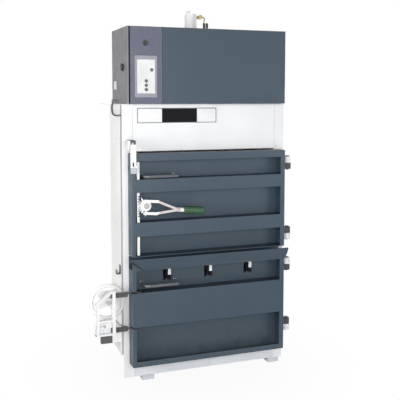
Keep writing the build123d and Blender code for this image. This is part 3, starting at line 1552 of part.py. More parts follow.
nodes["valve_block"] = valve_block()
nodes["port_elbow"] = port_elbow()
nodes["pressure_pipe"] = pressure_pipe()
nodes["bulkhead_fittings"] = bulkhead_fittings()
nodes["control_cable"] = control_cable()
nodes["cable_glands"] = cable_glands()
nodes["upper_door_panel"] = upper_door_panel()
nodes["upper_door_handle"] = pull_handle(upper_handle_z)
nodes["upper_door_lugs"] = hinge_lugs(door_lug, 1, slice(0, 2))
nodes["lower_door_panel"] = lower_door_panel()
nodes["lower_door_handle"] = pull_handle(lower_handle_z)
nodes["lower_door_lugs"] = hinge_lugs(door_lug, 1, slice(2, 4))
nodes["frame_hinge_lugs"] = hinge_lugs(frame_lug, 0, slice(0, 4))
nodes["hinge_pins"] = hinge_pins()
nodes["lock_lever"] = lock_lever()
nodes["lever_grip"] = lever_grip()
nodes["door_bolts"] = door_bolts()
nodes["lock_bar"] = lock_bar()
nodes["latch_plate"] = latch_plate()
nodes["latch_keeper"] = latch_keeper()
nodes["strap_clips"] = strap_clips()
nodes["strap_pads"] = strap_pads()
nodes["clamp_frame"] = clamp_frame()
nodes["clamp_bolts"] = clamp_bolts()
nodes["handwheel"] = handwheel()
nodes["spindle"] = spindle()
nodes["clamp_bracket"] = clamp_bracket()
nodes["side_hook"] = side_hook()

os.makedirs("parts", exist_ok=True)
for name, solid in nodes.items():
    shape = Compound(children=solid) if isinstance(solid, list) else solid
    export_step(shape, "parts/" + name + ".step")
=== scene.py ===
import bmesh
import bpy
import math
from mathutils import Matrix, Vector


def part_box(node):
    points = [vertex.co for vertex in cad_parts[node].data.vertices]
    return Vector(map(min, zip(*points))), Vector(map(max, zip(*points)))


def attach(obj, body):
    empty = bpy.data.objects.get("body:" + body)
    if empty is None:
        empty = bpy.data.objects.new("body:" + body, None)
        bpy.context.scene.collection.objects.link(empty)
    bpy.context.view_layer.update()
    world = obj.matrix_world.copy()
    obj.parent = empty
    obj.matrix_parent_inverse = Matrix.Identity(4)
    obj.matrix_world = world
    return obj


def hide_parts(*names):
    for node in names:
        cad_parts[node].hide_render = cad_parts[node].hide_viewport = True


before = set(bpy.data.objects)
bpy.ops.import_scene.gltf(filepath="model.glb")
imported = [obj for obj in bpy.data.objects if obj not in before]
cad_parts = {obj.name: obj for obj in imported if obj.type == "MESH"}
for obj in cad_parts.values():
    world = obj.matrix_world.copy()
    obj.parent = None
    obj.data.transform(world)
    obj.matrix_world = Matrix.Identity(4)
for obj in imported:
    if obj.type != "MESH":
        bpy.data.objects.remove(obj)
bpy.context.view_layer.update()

# Base frame and feet: square tube and folded plate, welded, then powder coated white with the body, that white
# painted darker and bluer as painted shade.
# Dust gathers on the lowest 30 cm, and a grey band of painted shadow from the lower door lies along the sill's
# upper edge.


def step(tree, kind, setting=None, **given):
    """One node of a tree. An input that is given a socket is linked to it, any other is set to the value."""
    node = tree.nodes.new(kind)
    for label, value in (setting or {}).items():
        setattr(node, label, value)
    for label, value in given.items():
        socket = node.inputs[label.replace("_", " ")]
        if isinstance(value, bpy.types.NodeSocket):
            tree.links.new(value, socket)
        else:
            socket.default_value = value
    return node


def finish_of(name):
    material = bpy.data.materials.new(name)
    material.use_nodes = True
    return material, material.node_tree, material.node_tree.nodes["Principled BSDF"]


def place_on(tree, stretch=(1.0, 1.0, 1.0)):
    coords = step(tree, "ShaderNodeTexCoord")
    return step(tree, "ShaderNodeMapping", Scale=stretch, Vector=coords.outputs["Object"]).outputs["Vector"]


def cloud(tree, scale, detail=3.0, stretch=(1.0, 1.0, 1.0)):
    noise = step(tree, "ShaderNodeTexNoise", Scale=scale, Detail=detail, Vector=place_on(tree, stretch))
    return noise.outputs["Fac"]


def ranged(tree, source, span, result=(0.0, 1.0)):
    """The source's span, from its first to its second value, laid over the result's."""
    return step(tree, "ShaderNodeMapRange", Value=source, From_Min=span[0], From_Max=span[1],
                To_Min=result[0], To_Max=result[1]).outputs["Result"]


def joined(tree, operation, one, other):
    """Two values in one: MULTIPLY leaves what both have, MAXIMUM what either has."""
    node = step(tree, "ShaderNodeMath", {"operation": operation})
    for socket, value in zip(node.inputs, (one, other)):
        if isinstance(value, float):
            socket.default_value = value
        else:
            tree.links.new(value, socket)
    return node.outputs["Value"]


def shade(tree, amount, under, over):
    node = step(tree, "ShaderNodeMix", {"data_type": "RGBA"}, Factor=amount)
    for socket, colour in ((node.inputs[6], under), (node.inputs[7], over)):
        if isinstance(colour, tuple):
            socket.default_value = (*colour, 1.0)
        else:
            tree.links.new(colour, socket)
    return node.outputs[2]


def tinted(colour, share):
    return tuple(min(c * share, 0.95) for c in colour)


def relief(tree, shader, layers):
    """Bumps of (height, depth in metres), each on top of the one before."""
    normal = None
    for height, depth in layers:
        bump = step(tree, "ShaderNodeBump", Strength=1.0, Distance=depth, Height=height)
        if normal:
            tree.links.new(normal, bump.inputs["Normal"])
        normal = bump.outputs["Normal"]
    tree.links.new(normal, shader.inputs["Normal"])


def powder_coat(name, colour, rough=(0.34, 0.5), dust=0.0, scuff=0.5, mottle=0.0, beyond=None, ledge_shade=None):
    """Sprayed and baked paint. beyond is a second tone and the (axis, start, end) fades that bound it;
    the ledge tone is painted shade laid on faces that look up."""
    material, tree, shader = finish_of(name)
    drift = ranged(tree, cloud(tree, scale=2.6, detail=4.0), (0.3, 0.7))
    tone = shade(tree, drift, tinted(colour, 0.93), tinted(colour, 1.05))
    if mottle:
        speck = ranged(tree, cloud(tree, scale=170.0), (0.38, 0.62))
        tone = shade(tree, speck, tone, tinted(colour, 1.0 - mottle))
    streaks = cloud(tree, scale=26.0, detail=4.0, stretch=(1.0, 1.0, 0.07))
    tone = shade(tree, ranged(tree, streaks, (0.56, 0.8), (0.0, 0.12)), tone, tinted(colour, 0.72))
    strokes = cloud(tree, scale=75.0, detail=5.0, stretch=(0.12, 1.0, 1.0))
    scratch = ranged(tree, strokes, (0.66, 0.71), (0.0, 0.3 * scuff))
    patch = ranged(tree, cloud(tree, scale=4.2, detail=2.0), (0.5, 0.66))
    tone = shade(tree, joined(tree, "MULTIPLY", scratch, patch), tone, tuple(c * 0.6 + 0.06 for c in colour))
    place = step(tree, "ShaderNodeSeparateXYZ", Vector=place_on(tree)).outputs
    if beyond:
        there = None
        for axis, start, end in beyond[1:]:
            side = ranged(tree, place[axis], (start, end))
            there = joined(tree, "MULTIPLY", there, side) if there else side
        tone = shade(tree, there, tone, beyond[0])
    # Painted shade: faces that look up are darkened towards the ledge tone.
    if ledge_shade:
        surface = step(tree, "ShaderNodeNewGeometry")
        way = step(tree, "ShaderNodeSeparateXYZ", Vector=surface.outputs["True Normal"])
        tone = shade(tree, ranged(tree, way.outputs["Z"], (0.8, 0.98), (0.0, 0.65)), tone, ledge_shade)
    low = ranged(tree, place["Z"], (0.0, 0.3), (dust, 0.0))
    drifts = ranged(tree, cloud(tree, scale=19.0, detail=5.0), (0.35, 0.7))
    dust_brown = (0.34, 0.315, 0.285)
    tone = shade(tree, joined(tree, "MULTIPLY", low, drifts), tone, dust_brown)
    tree.links.new(tone, shader.inputs["Base Color"])
    gloss = ranged(tree, cloud(tree, scale=11.0, detail=4.0), (0.32, 0.68), rough)
    tree.links.new(gloss, shader.inputs["Roughness"])
    shader.inputs["Specular IOR Level"].default_value = 0.42
    peel, wave = cloud(tree, scale=620.0, detail=2.0), cloud(tree, scale=5.0, detail=1.0)
    relief(tree, shader, ((peel, 0.00006), (wave, 0.0009)))
    return material


def dress(node, material, edge):
    """Paint a CAD piece and break its edges by modifiers, with its mesh left as it is."""
    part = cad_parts[node]
    part.data.materials.clear()
    part.data.materials.append(material)
    for face in part.data.polygons:
        face.material_index = 0
        face.use_smooth = True
    part.modifiers.new("joined", "WELD").merge_threshold = 0.00002
    flat = part.modifiers.new("flat", "DECIMATE")
    flat.decimate_type = "DISSOLVE"
    flat.angle_limit = math.radians(0.25)
    round_edge = part.modifiers.new("edge", "BEVEL")
    round_edge.width = edge
    round_edge.segments = 2
    round_edge.limit_method = "ANGLE"
    round_edge.angle_limit = math.radians(38.0)
    part.modifiers.new("normals", "WEIGHTED_NORMAL").keep_sharp = True


panel_white = (0.81, 0.812, 0.818)
body_white = powder_coat("body_white", panel_white, dust=0.1)
# Painted shadow of the lower door: a grey band along the sill's upper front edge.
sill_painted_shadow = ((0.36, 0.38, 0.4), ("Z", 0.076, 0.104), ("Y", -0.244, -0.248))
# The base's white is painted greyer and bluer than the body's, as painted shade near the floor.
base_white_painted_shade = powder_coat("base_white_painted_shade", (0.72, 0.735, 0.765), dust=0.12, beyond=sill_painted_shadow)
dress("base_frame", base_white_painted_shade, 0.0015)
# The feet's white is painted darker and bluer, as painted shade near the floor.
foot_white_painted_shade = powder_coat("foot_white_painted_shade", (0.63, 0.655, 0.69), dust=0.2)
dress("feet", foot_white_painted_shade, 0.0015)

# Chamber floor and walls: sheet steel, the floor bare and rubbed bright by bales along the pull,
# the walls painted white and welded to the columns.


def bands(tree, axis, pitch):
    wave = step(tree, "ShaderNodeTexWave", {"bands_direction": axis}, Scale=math.pi / (10.0 * pitch),
                Vector=place_on(tree))
    return wave.outputs["Fac"]


def bare_steel(name, colour, rough, grain=(1.0, 1.0, 1.0), rust=0.25, thread=None):
    """Metal without paint: stained in patches and brushed along its grain. thread is (axis, pitch)."""
    material, tree, shader = finish_of(name)
    drift = ranged(tree, cloud(tree, scale=8.0, detail=5.0), (0.3, 0.7))
    tone = shade(tree, drift, tinted(colour, 0.86), tinted(colour, 1.08))
    stain = ranged(tree, cloud(tree, scale=33.0, detail=6.0), (0.56, 0.74), (0.0, rust))
    tarnish = (0.2, 0.17, 0.14)
    tree.links.new(shade(tree, stain, tone, tarnish), shader.inputs["Base Color"])
    brushed = cloud(tree, scale=260.0, detail=4.0, stretch=grain)
    tree.links.new(ranged(tree, brushed, (0.3, 0.7), rough), shader.inputs["Roughness"])
    shader.inputs["Metallic"].default_value = 1.0
    layers = [(brushed, 0.00006), (cloud(tree, scale=45.0), 0.0002)]
    if thread:
        layers.append((bands(tree, *thread), 0.0012))
    relief(tree, shader, layers)
    return material


chamber_steel = bare_steel("chamber_steel", (0.43, 0.43, 0.425), (0.34, 0.58), grain=(1.0, 0.06, 1.0))
dress("chamber_floor", chamber_steel, 0.0012)
for node in ("left_wall", "right_wall", "rear_wall"):
    dress(node, body_white, 0.001)

# Columns, top deck and crosshead: folded sheet and welded plate that carry the press force, painted white.
# A groove runs down each column's outer side behind its front edge, painted grey inside as painted shade.
groove_painted_shade = (0.42, 0.405, 0.4)
groove_front, groove_back = ("Y", -0.2435, -0.2415), ("Y", -0.2, -0.2025)
for node, side in (("left_column", -1.0), ("right_column", 1.0)):
    groove = (groove_painted_shade, ("X", side * 0.4592, side * 0.4572), ("X", side * 0.434, side * 0.436),
              groove_front, groove_back)
    dress(node, powder_coat("body_white_" + node, panel_white, dust=0.1, beyond=groove), 0.0014)
for node in ("top_deck", "crosshead"):
    dress(node, body_white, 0.0014)

# Upper front panel: one folded white sheet between the columns, over the feed door.
# Low zinc-plated screws hold it at its lower corners, and one more sits high on each side panel.
dress("upper_front_panel", body_white, 0.0012)


def put(name, data, material, body, replaced=None):
    """A finished piece on its body, in place of the CAD piece that it replaces, if any."""
    data.materials.clear()
    data.materials.append(material)
    piece = bpy.data.objects.new(name, data)
    bpy.context.scene.collection.objects.link(piece)
    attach(piece, body)
    if replaced:
        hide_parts(replaced)
    return piece


def tree_of(name, sizes):
    tree = bpy.data.node_groups.new(name, "GeometryNodeTree")
    tree.interface.new_socket("Geometry", in_out="INPUT", socket_type="NodeSocketGeometry")
    for label, size in sizes.items():
        kind = "NodeSocketInt" if isinstance(size, int) else "NodeSocketFloat"
        tree.interface.new_socket(label, in_out="INPUT", socket_type=kind).default_value = size
    tree.interface.new_socket("Geometry", in_out="OUTPUT", socket_type="NodeSocketGeometry")
    return tree, step(tree, "NodeGroupInput").outputs


def seat_facing(tree):
    facing = step(tree, "GeometryNodeInputNamedAttribute", {"data_type": "FLOAT_VECTOR"}, Name="facing")
    align = step(tree, "FunctionNodeAlignRotationToVector", {"axis": "Z"}, Vector=facing.outputs["Attribute"])
    return align.outputs["Rotation"]


def set_on_seats(tree, given, shape, material, smooth=False, **turn):
    """The end of each tree: the shape on every seat, made real, shaded and painted."""
    points = step(tree, "GeometryNodeMeshToPoints", Mesh=given["Geometry"])
    setting = step(tree, "GeometryNodeInstanceOnPoints", Points=points.outputs["Points"], Instance=shape, **turn)
    real = step(tree, "GeometryNodeRealizeInstances", Geometry=setting.outputs["Instances"])
    shaded = step(tree, "GeometryNodeSetShadeSmooth", Geometry=real.outputs["Geometry"], Shade_Smooth=smooth)
    painted = step(tree, "GeometryNodeSetMaterial", Geometry=shaded.outputs["Geometry"], Material=material)
    step(tree, "NodeGroupOutput", Geometry=painted.outputs["Geometry"])


def grown(name, places, tree, sizes, material, body):
    """A tree's pieces on their seats, (place, facing) each, turned into one plain mesh."""
    seats = bpy.data.meshes.new(name + "_seats")
    seats.from_pydata([place for place, _ in places], [], [])
    facing = seats.attributes.new("facing", "FLOAT_VECTOR", "POINT")
    for k, (_, way) in enumerate(places):
        facing.data[k].vector = way
    base = bpy.data.objects.new(name + "_seats", seats)
    bpy.context.scene.collection.objects.link(base)
    maker = base.modifiers.new("made", "NODES")
    maker.node_group = tree
    for item in tree.interface.items_tree:
        if item.in_out == "INPUT" and item.name in sizes:
            maker[item.identifier] = sizes[item.name]
    seen = bpy.context.evaluated_depsgraph_get()
    seen.update()
    mesh = bpy.data.meshes.new_from_object(base.evaluated_get(seen))
    bpy.data.objects.remove(base)
    return put(name, mesh, material, body)


def screw_tree(name, material):
    """Screw heads: a low tapered head with a round drive recess sunk in its top."""
    tree, given = tree_of(name, {"Head Width": 0.01, "Head Height": 0.003, "Sides": 24})
    crown_share, drive_share, drive_depth = 0.78, 0.55, -0.55
    half = joined(tree, "MULTIPLY", given["Head Width"], 0.5)
    head = step(tree, "GeometryNodeMeshCone", Vertices=given["Sides"], Depth=given["Head Height"],
                Radius_Top=joined(tree, "MULTIPLY", half, crown_share), Radius_Bottom=half)
    ring = step(tree, "GeometryNodeExtrudeMesh", {"mode": "FACES"}, Mesh=head.outputs["Mesh"],
                Selection=head.outputs["Top"], Offset_Scale=0.0)
    drive = step(tree, "GeometryNodeScaleElements", Geometry=ring.outputs["Mesh"],
                 Selection=ring.outputs["Top"], Scale=drive_share)
    well = step(tree, "GeometryNodeExtrudeMesh", {"mode": "FACES"}, Mesh=drive.outputs["Geometry"],
                Selection=ring.outputs["Top"],
                Offset_Scale=joined(tree, "MULTIPLY", given["Head Height"], drive_depth))
    set_on_seats(tree, given, well.outputs["Mesh"], material, Rotation=seat_facing(tree))
    return tree


screw_zinc = bare_steel("screw_zinc", (0.5, 0.5, 0.49), (0.28, 0.45))
panel_screw = screw_tree("panel_screw", screw_zinc)
front_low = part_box("upper_front_panel")[0]
front_screw_x, front_screw_z = 0.415, front_low.z + 0.012
side_screw_x, side_screw_y, side_screw_z = -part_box("left_column")[0].x, -0.118, 1.289
screw_ways = [((side * front_screw_x, front_low.y, front_screw_z), (0.0, -1.0, 0.0)) for side in (-1.0, 1.0)]
screw_ways += [((side * side_screw_x, side_screw_y, side_screw_z), (side, 0.0, 0.0)) for side in (-1.0, 1.0)]
grown("panel_screws", screw_ways, panel_screw, {"Head Width": 0.009, "Head Height": 0.0018, "Sides": 20},
      screw_zinc, "frame")

# Sign plate: a pressed plastic plate on the front panel with a dark rim and three plain printed fields,
# held by a small rivet in each corner.


def moulded(name, colour, rough=(0.34, 0.48), grain=0.00003, coat=0.0, shine=0.5, flutes=None):
    """Plastic as it leaves the mould, with a fine grain. flutes is (axis, pitch)."""
    material, tree, shader = finish_of(name)
    drift = ranged(tree, cloud(tree, scale=14.0, detail=4.0), (0.3, 0.7))
    tone = shade(tree, drift, tinted(colour, 0.92), tinted(colour, 1.06))
    tree.links.new(tone, shader.inputs["Base Color"])
    gloss = ranged(tree, cloud(tree, scale=60.0, detail=4.0), (0.3, 0.7), rough)
    tree.links.new(gloss, shader.inputs["Roughness"])
    shader.inputs["Coat Weight"].default_value = coat
    shader.inputs["Specular IOR Level"].default_value = shine
    layers = [(cloud(tree, scale=900.0, detail=2.0), grain)]
    if flutes:
        layers.append((bands(tree, *flutes), 0.0025))
    relief(tree, shader, layers)
    return material


def slab(name, low, high, material, body, bend=0.0):
    """A flat block between two corners, its edges broken by a small bevel."""
    mesh = bpy.data.meshes.new(name)
    shape = bmesh.new()
    bmesh.ops.create_cube(shape, size=1.0)
    for v in shape.verts:
        v.co = Vector(tuple(low[k] if v.co[k] < 0 else high[k] for k in range(3)))
    if bend:
        bmesh.ops.bevel(shape, geom=list(shape.edges), offset=bend, segments=2, affect="EDGES", clamp_overlap=True)
    shape.to_mesh(mesh)
    shape.free()
    return put(name, mesh, material, body)


sign_rim = moulded("sign_rim", (0.14, 0.14, 0.145))
sign_white = moulded("sign_white", (0.8, 0.8, 0.8))
sign_black = moulded("sign_black", (0.008, 0.008, 0.009), (0.6, 0.75), shine=0.1)
dress("sign_plate", sign_rim, 0.0008)
sign_low, sign_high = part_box("sign_plate")
rim_width, field_gap, rivet_inset = 0.003, 0.0006, 0.008
field_front, field_back = sign_low.y + 0.0003, sign_low.y + 0.002
field_left, field_span = sign_low.x + rim_width, sign_high.x - sign_low.x - 2 * rim_width
field_cuts = (0.0, 0.303, 0.752, 1.0)
for k, finish in enumerate((sign_white, sign_black, sign_white)):
    slab("sign_field_%d" % (k + 1),
         (field_left + field_cuts[k] * field_span + field_gap, field_front, sign_low.z + rim_width),
         (field_left + field_cuts[k + 1] * field_span - field_gap, field_back, sign_high.z - rim_width),
         finish, "frame", 0.0003)
rivet_ways = [((x, field_front, z), (0.0, -1.0, 0.0))
              for x in (sign_low.x + rivet_inset, sign_high.x - rivet_inset)
              for z in (sign_low.z + rivet_inset, sign_high.z - rivet_inset)]
grown("sign_rivets", rivet_ways, panel_screw, {"Head Width": 0.0045, "Head Height": 0.0009, "Sides": 16},
      screw_zinc, "frame")

# Hydraulic cylinder, gland and rod: honed tube painted grey, turned gland, chromed rod.
# The press plate is flame-cut plate with welded beams, rubbed bare by the bales.
cylinder_grey = powder_coat("cylinder_grey", (0.86, 0.86, 0.87), (0.3, 0.45), scuff=0.8)
dress("cylinder_barrel", cylinder_grey, 0.0012)
bright_steel = bare_steel("bright_steel", (0.58, 0.575, 0.56), (0.24, 0.42), rust=0.15)
dress("cylinder_gland", bright_steel, 0.0008)
rod_chrome = bare_steel("rod_chrome", (0.66, 0.665, 0.67), (0.1, 0.2), grain=(1.0, 1.0, 0.1), rust=0.05)
dress("piston_rod", rod_chrome, 0.0006)
dress("press_plate", chamber_steel, 0.0015)

# Hood: folded sheet shell with a rounded front flange, a slate front cover and a rear cover with pressed louvres,
# all powder coated and screwed; the control strip is a separate folded panel set back in a dark groove.
hood_grey = powder_coat("hood_grey", (0.2, 0.199, 0.216), (0.52, 0.68), mottle=0.16)
slate = powder_coat("slate", (0.0365, 0.0595, 0.082), (0.36, 0.52), dust=0.12, scuff=0.8)
strip_grey = powder_coat("strip_grey", (0.111, 0.118, 0.168), mottle=0.22)
dress("hood_shell", hood_grey, 0.0008)
dress("hood_rear_cover", hood_grey, 0.0008)
dress("hood_front_cover", slate, 0.001)
dress("control_panel", strip_grey, 0.0008)
rear_low, rear_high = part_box("hood_rear_cover")
rearward = (0.0, 1.0, 0.0)
screw_side_inset, screw_end_inset, inner_screw_x = 0.012, 0.02, 0.075
cover_screw_x = (rear_low.x + screw_side_inset, -inner_screw_x, inner_screw_x, rear_high.x - screw_side_inset)
cover_screw_z = (rear_low.z + screw_end_inset, rear_high.z - screw_end_inset)
cover_ways = [((x, rear_high.y, z), rearward) for x in cover_screw_x for z in cover_screw_z]
grown("rear_cover_screws", cover_ways, panel_screw, {"Head Width": 0.011, "Head Height": 0.0028, "Sides": 20},
      screw_zinc, "frame")


def louvre_tree(name, material):
    """Pressed louvres: a long flattened round on each seat, sunk in the sheet to a little over half."""
    tree, given = tree_of(name, {"Length": 0.1, "Rise": 0.005, "Reach": 0.004})
    tube = step(tree, "GeometryNodeMeshCylinder", Vertices=32, Radius=1.0, Depth=1.0)
    size = step(tree, "ShaderNodeCombineXYZ", X=given["Rise"], Y=given["Reach"], Z=given["Length"])
    lying = step(tree, "GeometryNodeTransform", Geometry=tube.outputs["Mesh"], Scale=size.outputs["Vector"],
                 Rotation=(0.0, math.radians(90.0), 0.0))
    set_on_seats(tree, given, lying.outputs["Geometry"], material)
    return tree


louvre_x, louvre_foot, louvre_pitch, louvre_count, louvre_sink = 0.23, 1.56, 0.022, 8, 0.001
louvre_ways = [((x, rear_high.y - louvre_sink, louvre_foot + louvre_pitch * k), rearward)
               for x in (-louvre_x, louvre_x) for k in range(louvre_count)]
grown("rear_louvres", louvre_ways, louvre_tree("louvre", hood_grey),
      {"Length": 0.13, "Rise": 0.006, "Reach": 0.004}, hood_grey, "frame")

# Control field: a light grey moulded bezel round a white foil, with a header rule and plain pictogram spots,
# four grey push buttons and a black rotary selector, set in their holes from behind.
grey_plastic = moulded("grey_plastic", (0.27, 0.27, 0.315))
white_plastic = moulded("white_plastic", (0.72, 0.72, 0.715))
button_grey = moulded("button_grey", (0.085, 0.09, 0.094), (0.26, 0.4), coat=0.3)
black_plastic = moulded("black_plastic", (0.02, 0.02, 0.021), (0.32, 0.46), 0.00006)
dress("panel_bezel", grey_plastic, 0.0012)
dress("panel_membrane", white_plastic, 0.0004)
print_grey = moulded("print_grey", (0.7, 0.7, 0.705))
foil_low, foil_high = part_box("panel_membrane")
print_front, print_back = foil_low.y - 0.0003, foil_low.y + 0.0005
rule_inset, rule_foot, rule_head = 0.004, foil_high.z - 0.021, foil_high.z - 0.0185
slab("foil_header_rule", (foil_low.x + rule_inset, print_front, rule_foot),
     (foil_high.x - rule_inset, print_back, rule_head), print_grey, "frame")
spot_half = 0.0055
spot_places = ((-0.029, 0.095), (0.0, 0.095), (0.03, 0.095), (-0.028, 0.066))
for k, (across, rise) in enumerate(spot_places):
    x, z = (foil_low.x + foil_high.x) / 2 + across, foil_low.z + rise
    slab("foil_spot_%d" % (k + 1), (x - spot_half, print_front, z - spot_half),
         (x + spot_half, print_back, z + spot_half), print_grey, "frame")
for k in range(4):
    dress("button_%d" % (k + 1), button_grey, 0.0006)
dress("selector_knob", black_plastic, 0.0008)

# Main switch on the hood's left side: a black moulded rotary handle on a base in the hood's grey.
# Below it a small blank plate of white plastic is fixed to the sheet.
dress("switch_base", hood_grey, 0.001)
dress("switch_handle", black_plastic, 0.0012)
dress("side_plate", white_plastic, 0.0006)

# Power unit under the hood: an oil tank welded from sheet and painted dark, a finned motor painted light grey
# and a valve block milled from bright steel.
dark_paint = (0.042, 0.043, 0.046)
dark_steel = powder_coat("dark_steel", dark_paint, (0.36, 0.55), dust=0.15)
dress("oil_tank", dark_steel, 0.002)
dress("pump_motor", cylinder_grey, 0.0006)
dress("valve_block", bright_steel, 0.001)

# Pressure pipe: drawn steel tube bent on a former, olive zinc plated, between the cylinder's elbow and
# the nearer of two bulkhead fittings in the hood's top.


def corner_bends(corners, bend):
    """Straight runs and round bends as handle points: (place, handle before, handle after) for each."""
    points = [(corners[0], corners[0], corners[0])]
    for before, corner, after in zip(corners, corners[1:], corners[2:]):
        inward = (corner - before).normalized()
        outward = (after - corner).normalized()
        turn = inward.angle(outward)
        run = bend * math.tan(turn / 2)
        arm = bend * math.tan(turn / 4) * 4 / 3
        start = corner - inward * run
        end = corner + outward * run
        points.append((start, start, start + inward * arm))
        points.append((end, end - outward * arm, end))
    points.append((corners[-1], corners[-1], corners[-1]))
    return points


def round_line(name, radius, facets, cuts):
    line = bpy.data.curves.new(name, "CURVE")
    line.dimensions = "3D"
    line.bevel_depth = radius
    line.bevel_resolution = facets
    line.resolution_u = cuts
    line.use_fill_caps = True
    return line


def bent_tube(name, corners, bend, radius, material, body, replaced=None):
    line = round_line(name, radius, facets=8, cuts=10)
    spline = line.splines.new("BEZIER")
    points = corner_bends([Vector(c) for c in corners], bend)
    spline.bezier_points.add(len(points) - 1)
    for knot, (place, before, after) in zip(spline.bezier_points, points):
        knot.handle_left_type = knot.handle_right_type = "FREE"
        knot.co, knot.handle_left, knot.handle_right = place, before, after
    rough_piece = bpy.data.objects.new(name + "_line", line)
    bpy.context.scene.collection.objects.link(rough_piece)
    seen = bpy.context.evaluated_depsgraph_get()
    mesh = bpy.data.meshes.new_from_object(rough_piece.evaluated_get(seen))
    bpy.data.objects.remove(rough_piece)
    for face in mesh.polygons:
        face.use_smooth = True
    return put(name, mesh, material, body, replaced)


olive_zinc = bare_steel("olive_zinc", (0.4, 0.36, 0.2), (0.3, 0.46), rust=0.2)
dress("port_elbow", olive_zinc, 0.0008)
dress("bulkhead_fittings", dark_steel, 0.0006)
pipe_low, pipe_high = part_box("pressure_pipe")
pipe_radius, pipe_bend = 0.0035, 0.013
pipe_x, pipe_y, pipe_top = (end - pipe_radius for end in pipe_high)
pipe_knee = pipe_top - 0.667 * (pipe_top - pipe_low.z)
pipe_route = ((pipe_low.x, 0.0, pipe_top), (pipe_x, 0.0, pipe_top), (pipe_x, pipe_y, pipe_knee),
              (pipe_x, pipe_y, pipe_low.z))
bent_tube("pipe_run", pipe_route, pipe_bend, pipe_radius, olive_zinc, "frame", "pressure_pipe")

# Control cable: a black rubber cable from the hood's gland to the gland in the column's groove,
# which hangs in a short bight against the side panel.


def rubber(name, colour):
    material, tree, shader = finish_of(name)
    drift = ranged(tree, cloud(tree, scale=40.0, detail=4.0), (0.3, 0.7))
    tone = shade(tree, drift, tinted(colour, 0.8), tinted(colour, 1.35))
    tree.links.new(tone, shader.inputs["Base Color"])
    gloss = ranged(tree, cloud(tree, scale=150.0), (0.3, 0.7), (0.5, 0.68))
    tree.links.new(gloss, shader.inputs["Roughness"])
    relief(tree, shader, ((cloud(tree, scale=700.0, detail=2.0), 0.00005),))
    return material


black_rubber = rubber("black_rubber", (0.016, 0.016, 0.017))
cable_x = -0.467
cable_radius = 0.004
cable_route = ((-0.077, 1.487), (-0.066, 1.475), (-0.059, 1.461), (-0.058, 1.446), (-0.065, 1.4325),
               (-0.08, 1.423), (-0.102, 1.418), (-0.133, 1.416), (-0.177, 1.416), (-0.226, 1.4185))
cable_line = round_line("cable", cable_radius, facets=6, cuts=12)
cable_spline = cable_line.splines.new("NURBS")
cable_spline.points.add(len(cable_route) - 1)
for point, (y, z) in zip(cable_spline.points, cable_route):
    point.co = (cable_x, y, z, 1.0)
cable_spline.order_u = 3
cable_spline.use_endpoint_u = True
cable = put("cable", cable_line, black_rubber, "frame", "control_cable")
dress("cable_glands", hood_grey, 0.0008)

# Doors: deep trays pressed and welded from sheet with wide hollow ribs, powder coated slate.
# Painted shade darkens the ledges that look up and, darker towards the bottom, the floors of the lower recesses.
recess_painted_shade = ((0.032, 0.0525, 0.0715), ("Y", -0.31, -0.275), ("Z", 0.95, 0.85))
door_slate = powder_coat("door_slate", (0.0385, 0.063, 0.087), (0.36, 0.52), dust=0.12, scuff=0.8,
                         ledge_shade=(0.007, 0.01, 0.017), beyond=recess_painted_shade)
for node in ("upper_door_panel", "lower_door_panel"):
    dress(node, door_slate, 0.0016)

# Lip mitre: the lip is folded from the lower door's top edge and its left end is closed by a welded mitre.
# Two fine dark lines of painted shade are drawn along the mitre's fold edges.
lip_line_painted_shade = powder_coat("lip_line_painted_shade", (0.014, 0.017, 0.022), (0.5, 0.65))
shade_line_head, shade_line_foot, shade_line_radius = (-0.4465, -0.3604, 0.6795), (-0.3835, -0.3316, 0.6282), 0.0023
for k, aside in enumerate((0.0, 0.0085)):
    shade_line = [(x + aside, y, z) for x, y, z in (shade_line_head, shade_line_foot)]
    bent_tube("lip_shade_line_%d" % (k + 1), shade_line, 0.0, shade_line_radius, lip_line_painted_shade, "lower_door")

# Bolt guides: two short dark bars welded along the lower door's wide rib, one above and one below it,
# that lead the clamp's bolts behind the stile.
guide_dark = powder_coat("guide_dark", (0.02, 0.02, 0.023), (0.36, 0.55))
guide_left, guide_front, guide_back, guide_height = -0.4112, -0.3302, -0.312, 0.008
for name, right, foot in (("upper_bolt_guide", -0.386, 0.5082), ("lower_bolt_guide", -0.371, 0.3198)):
    slab(name, (guide_left, guide_front, foot), (right, guide_back, foot + guide_height), guide_dark,
         "lower_door", 0.0008)

# Pull handles: round steel tube bent to a bow and coated a glossy black.
# Its two feet are welded into turned roses on the door's skin.
handle_black = moulded("handle_black", (0.07, 0.077, 0.092), (0.12, 0.2), coat=1.0)


def ringed(name, rings, smooth, closed, material, body, slot, replaced):
    """A shell through rings of points: closed runs on from the last ring to the first, and open is capped."""
    mesh = bpy.data.meshes.new(name)
    shape = bmesh.new()
    rows = [[shape.verts.new(point) for point in ring] for ring in rings]
    for here, ahead in zip(rows, rows[1:] + (rows[:1] if closed else [])):
        for n in range(len(here)):
            up = (n + 1) % len(here)
            shape.faces.new((here[n], here[up], ahead[up], ahead[n])).smooth = smooth
    if not closed:
        shape.faces.new(rows[0])
        shape.faces.new(rows[-1])
    bmesh.ops.recalc_face_normals(shape, faces=list(shape.faces))
    shape.to_mesh(mesh)
    shape.free()
    return put(name, mesh, material, body, replaced)


def turned(name, centre, axis, profile, material, body, slot, replaced, sides=48):
    """A turned piece: the profile's (distance along axis, radius) pairs swept round the axis."""
    way = Vector(axis).normalized()
    side = way.orthogonal().normalized()
    other = way.cross(side)
    turns = [2 * math.pi * k / sides for k in range(sides)]
    rings = [[Vector(centre) + way * along + (side * math.cos(turn) + other * math.sin(turn)) * radius
              for turn in turns] for along, radius in profile]
    return ringed(name, rings, True, False, material, body, slot, replaced)


